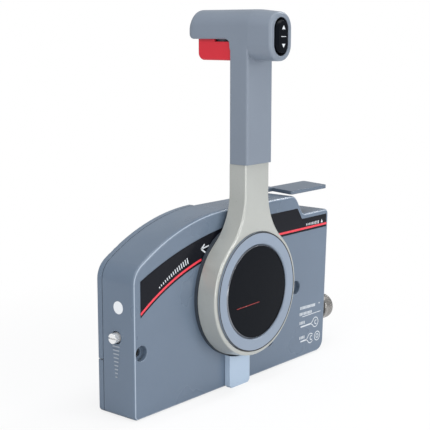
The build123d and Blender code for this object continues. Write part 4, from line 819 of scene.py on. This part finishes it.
# Ridges around the key switch's bezel
def knurlTree():
    sizes = {"Count": 40, "Radius": 0.01, "Length": 0.005, "Ridge": 0.0005, "Ridge Sides": 6,
             "Place": (0.0, 0.0, 0.0), "Lean": 0.0, "Material": None}
    tree, given, result = geometryTree("bezelKnurl", sizes)
    index = tree.nodes.new("GeometryNodeInputIndex").outputs[0]
    turn = mathNode(tree, "MULTIPLY", mathNode(tree, "DIVIDE", index, given.outputs["Count"]), 2 * math.pi)
    across = mathNode(tree, "MULTIPLY", given.outputs["Radius"], mathNode(tree, "COSINE", turn, None))
    up = mathNode(tree, "MULTIPLY", given.outputs["Radius"], mathNode(tree, "SINE", turn, None))
    place = vectorOf(tree, 0.0, across, up)
    points = tree.nodes.new("GeometryNodePoints")
    link(tree, given.outputs["Count"], points.inputs["Count"])
    link(tree, place, points.inputs["Position"])
    ridge = tree.nodes.new("GeometryNodeMeshCylinder")
    link(tree, given.outputs["Ridge Sides"], ridge.inputs["Vertices"])
    link(tree, given.outputs["Ridge"], ridge.inputs["Radius"])
    link(tree, given.outputs["Length"], ridge.inputs["Depth"])
    lay = tree.nodes.new("GeometryNodeTransform")
    link(tree, ridge.outputs["Mesh"], lay.inputs["Geometry"])
    lay.inputs["Rotation"].default_value = (0, math.radians(90), 0)
    spread = tree.nodes.new("GeometryNodeInstanceOnPoints")
    link(tree, points.outputs[0], spread.inputs["Points"])
    link(tree, lay.outputs[0], spread.inputs["Instance"])
    move = tree.nodes.new("GeometryNodeTransform")
    link(tree, spread.outputs[0], move.inputs["Geometry"])
    link(tree, vectorOf(tree, 0.0, given.outputs["Lean"], 0.0), move.inputs["Rotation"])
    link(tree, given.outputs["Place"], move.inputs["Translation"])
    finishTree(tree, move.outputs[0], given, result)
    return tree


bezelLow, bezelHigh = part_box("key_bezel")
bezelMiddle = (bezelLow + bezelHigh) / 2
bezelKnurl = {"Count": 44, "Radius": 0.0117, "Length": 0.0042, "Ridge": 0.00018, "Ridge Sides": 6,
              "Place": tuple(bezelMiddle), "Lean": math.radians(2.456), "Material": finishes["dullNickel"]}
knurlMesh = geometryMesh(knurlTree(), bezelKnurl, "bezelKnurl")
addPiece("bezelKnurl", knurlMesh, "dullNickel", "housing")

# Up and down pointers on the trim rocker
rockerMarks = {"half": 0.0022, "tall": 0.0030, "level": 0.0071, "line": 0.0005, "lineHalf": 0.0032}


def makeRockerMarks():
    form = bmesh.new()
    low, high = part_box("trim_rocker")
    middle = (low.z + high.z) / 2
    for side in (-1, 1):
        foot = middle + side * (rockerMarks["level"] - rockerMarks["tall"] / 2)
        tip = foot + side * rockerMarks["tall"]
        corners = [(-rockerMarks["half"], foot), (rockerMarks["half"], foot), (0, tip)]
        flatMark(form, corners, low.y, lineThick)
    reach = rockerMarks["lineHalf"]
    bandMark(form, [(-reach, middle), (reach, middle)], rockerMarks["line"], low.y, lineThick)
    addPiece("rockerMarks", closeForm(form, "rockerMarks"), "printWhite", "trim_rocker")


makeRockerMarks()
print("printed marks and trims done")

# Raised friction legend on the bow end: a scale of bars that narrows downwards
frictionLegend = {"Count": 9, "Top": -0.0256, "Foot": -0.0500, "Across": -0.0202, "Face": bowFace,
                  "First Width": 0.0072, "Last Width": 0.0020, "Bar": 0.0010, "Out": 0.0004,
                  "Material": finishes["legendGrey"]}


def legendTree():
    tree, given, result = geometryTree("frictionBars", frictionLegend)
    share = indexShare(tree, given.outputs["Count"])
    level = between(tree, given.outputs["Top"], given.outputs["Foot"], share)
    width = between(tree, given.outputs["First Width"], given.outputs["Last Width"], share)
    halfOut = mathNode(tree, "MULTIPLY", given.outputs["Out"], 0.5)
    middle = mathNode(tree, "SUBTRACT", given.outputs["Face"], halfOut)
    points = tree.nodes.new("GeometryNodePoints")
    link(tree, given.outputs["Count"], points.inputs["Count"])
    link(tree, vectorOf(tree, middle, given.outputs["Across"], level), points.inputs["Position"])
    bar = tree.nodes.new("GeometryNodeMeshCube")
    link(tree, vectorOf(tree, given.outputs["Out"], 1.0, given.outputs["Bar"]), bar.inputs["Size"])
    spread = tree.nodes.new("GeometryNodeInstanceOnPoints")
    link(tree, points.outputs[0], spread.inputs["Points"])
    link(tree, bar.outputs["Mesh"], spread.inputs["Instance"])
    link(tree, vectorOf(tree, 1.0, width, 1.0), spread.inputs["Scale"])
    finishTree(tree, spread.outputs[0], given, result)
    return tree


legendBars = geometryMesh(legendTree(), frictionLegend, "frictionLegend")
addPiece("frictionLegend", legendBars, "legendGrey", "housing")
print("raised legend done")
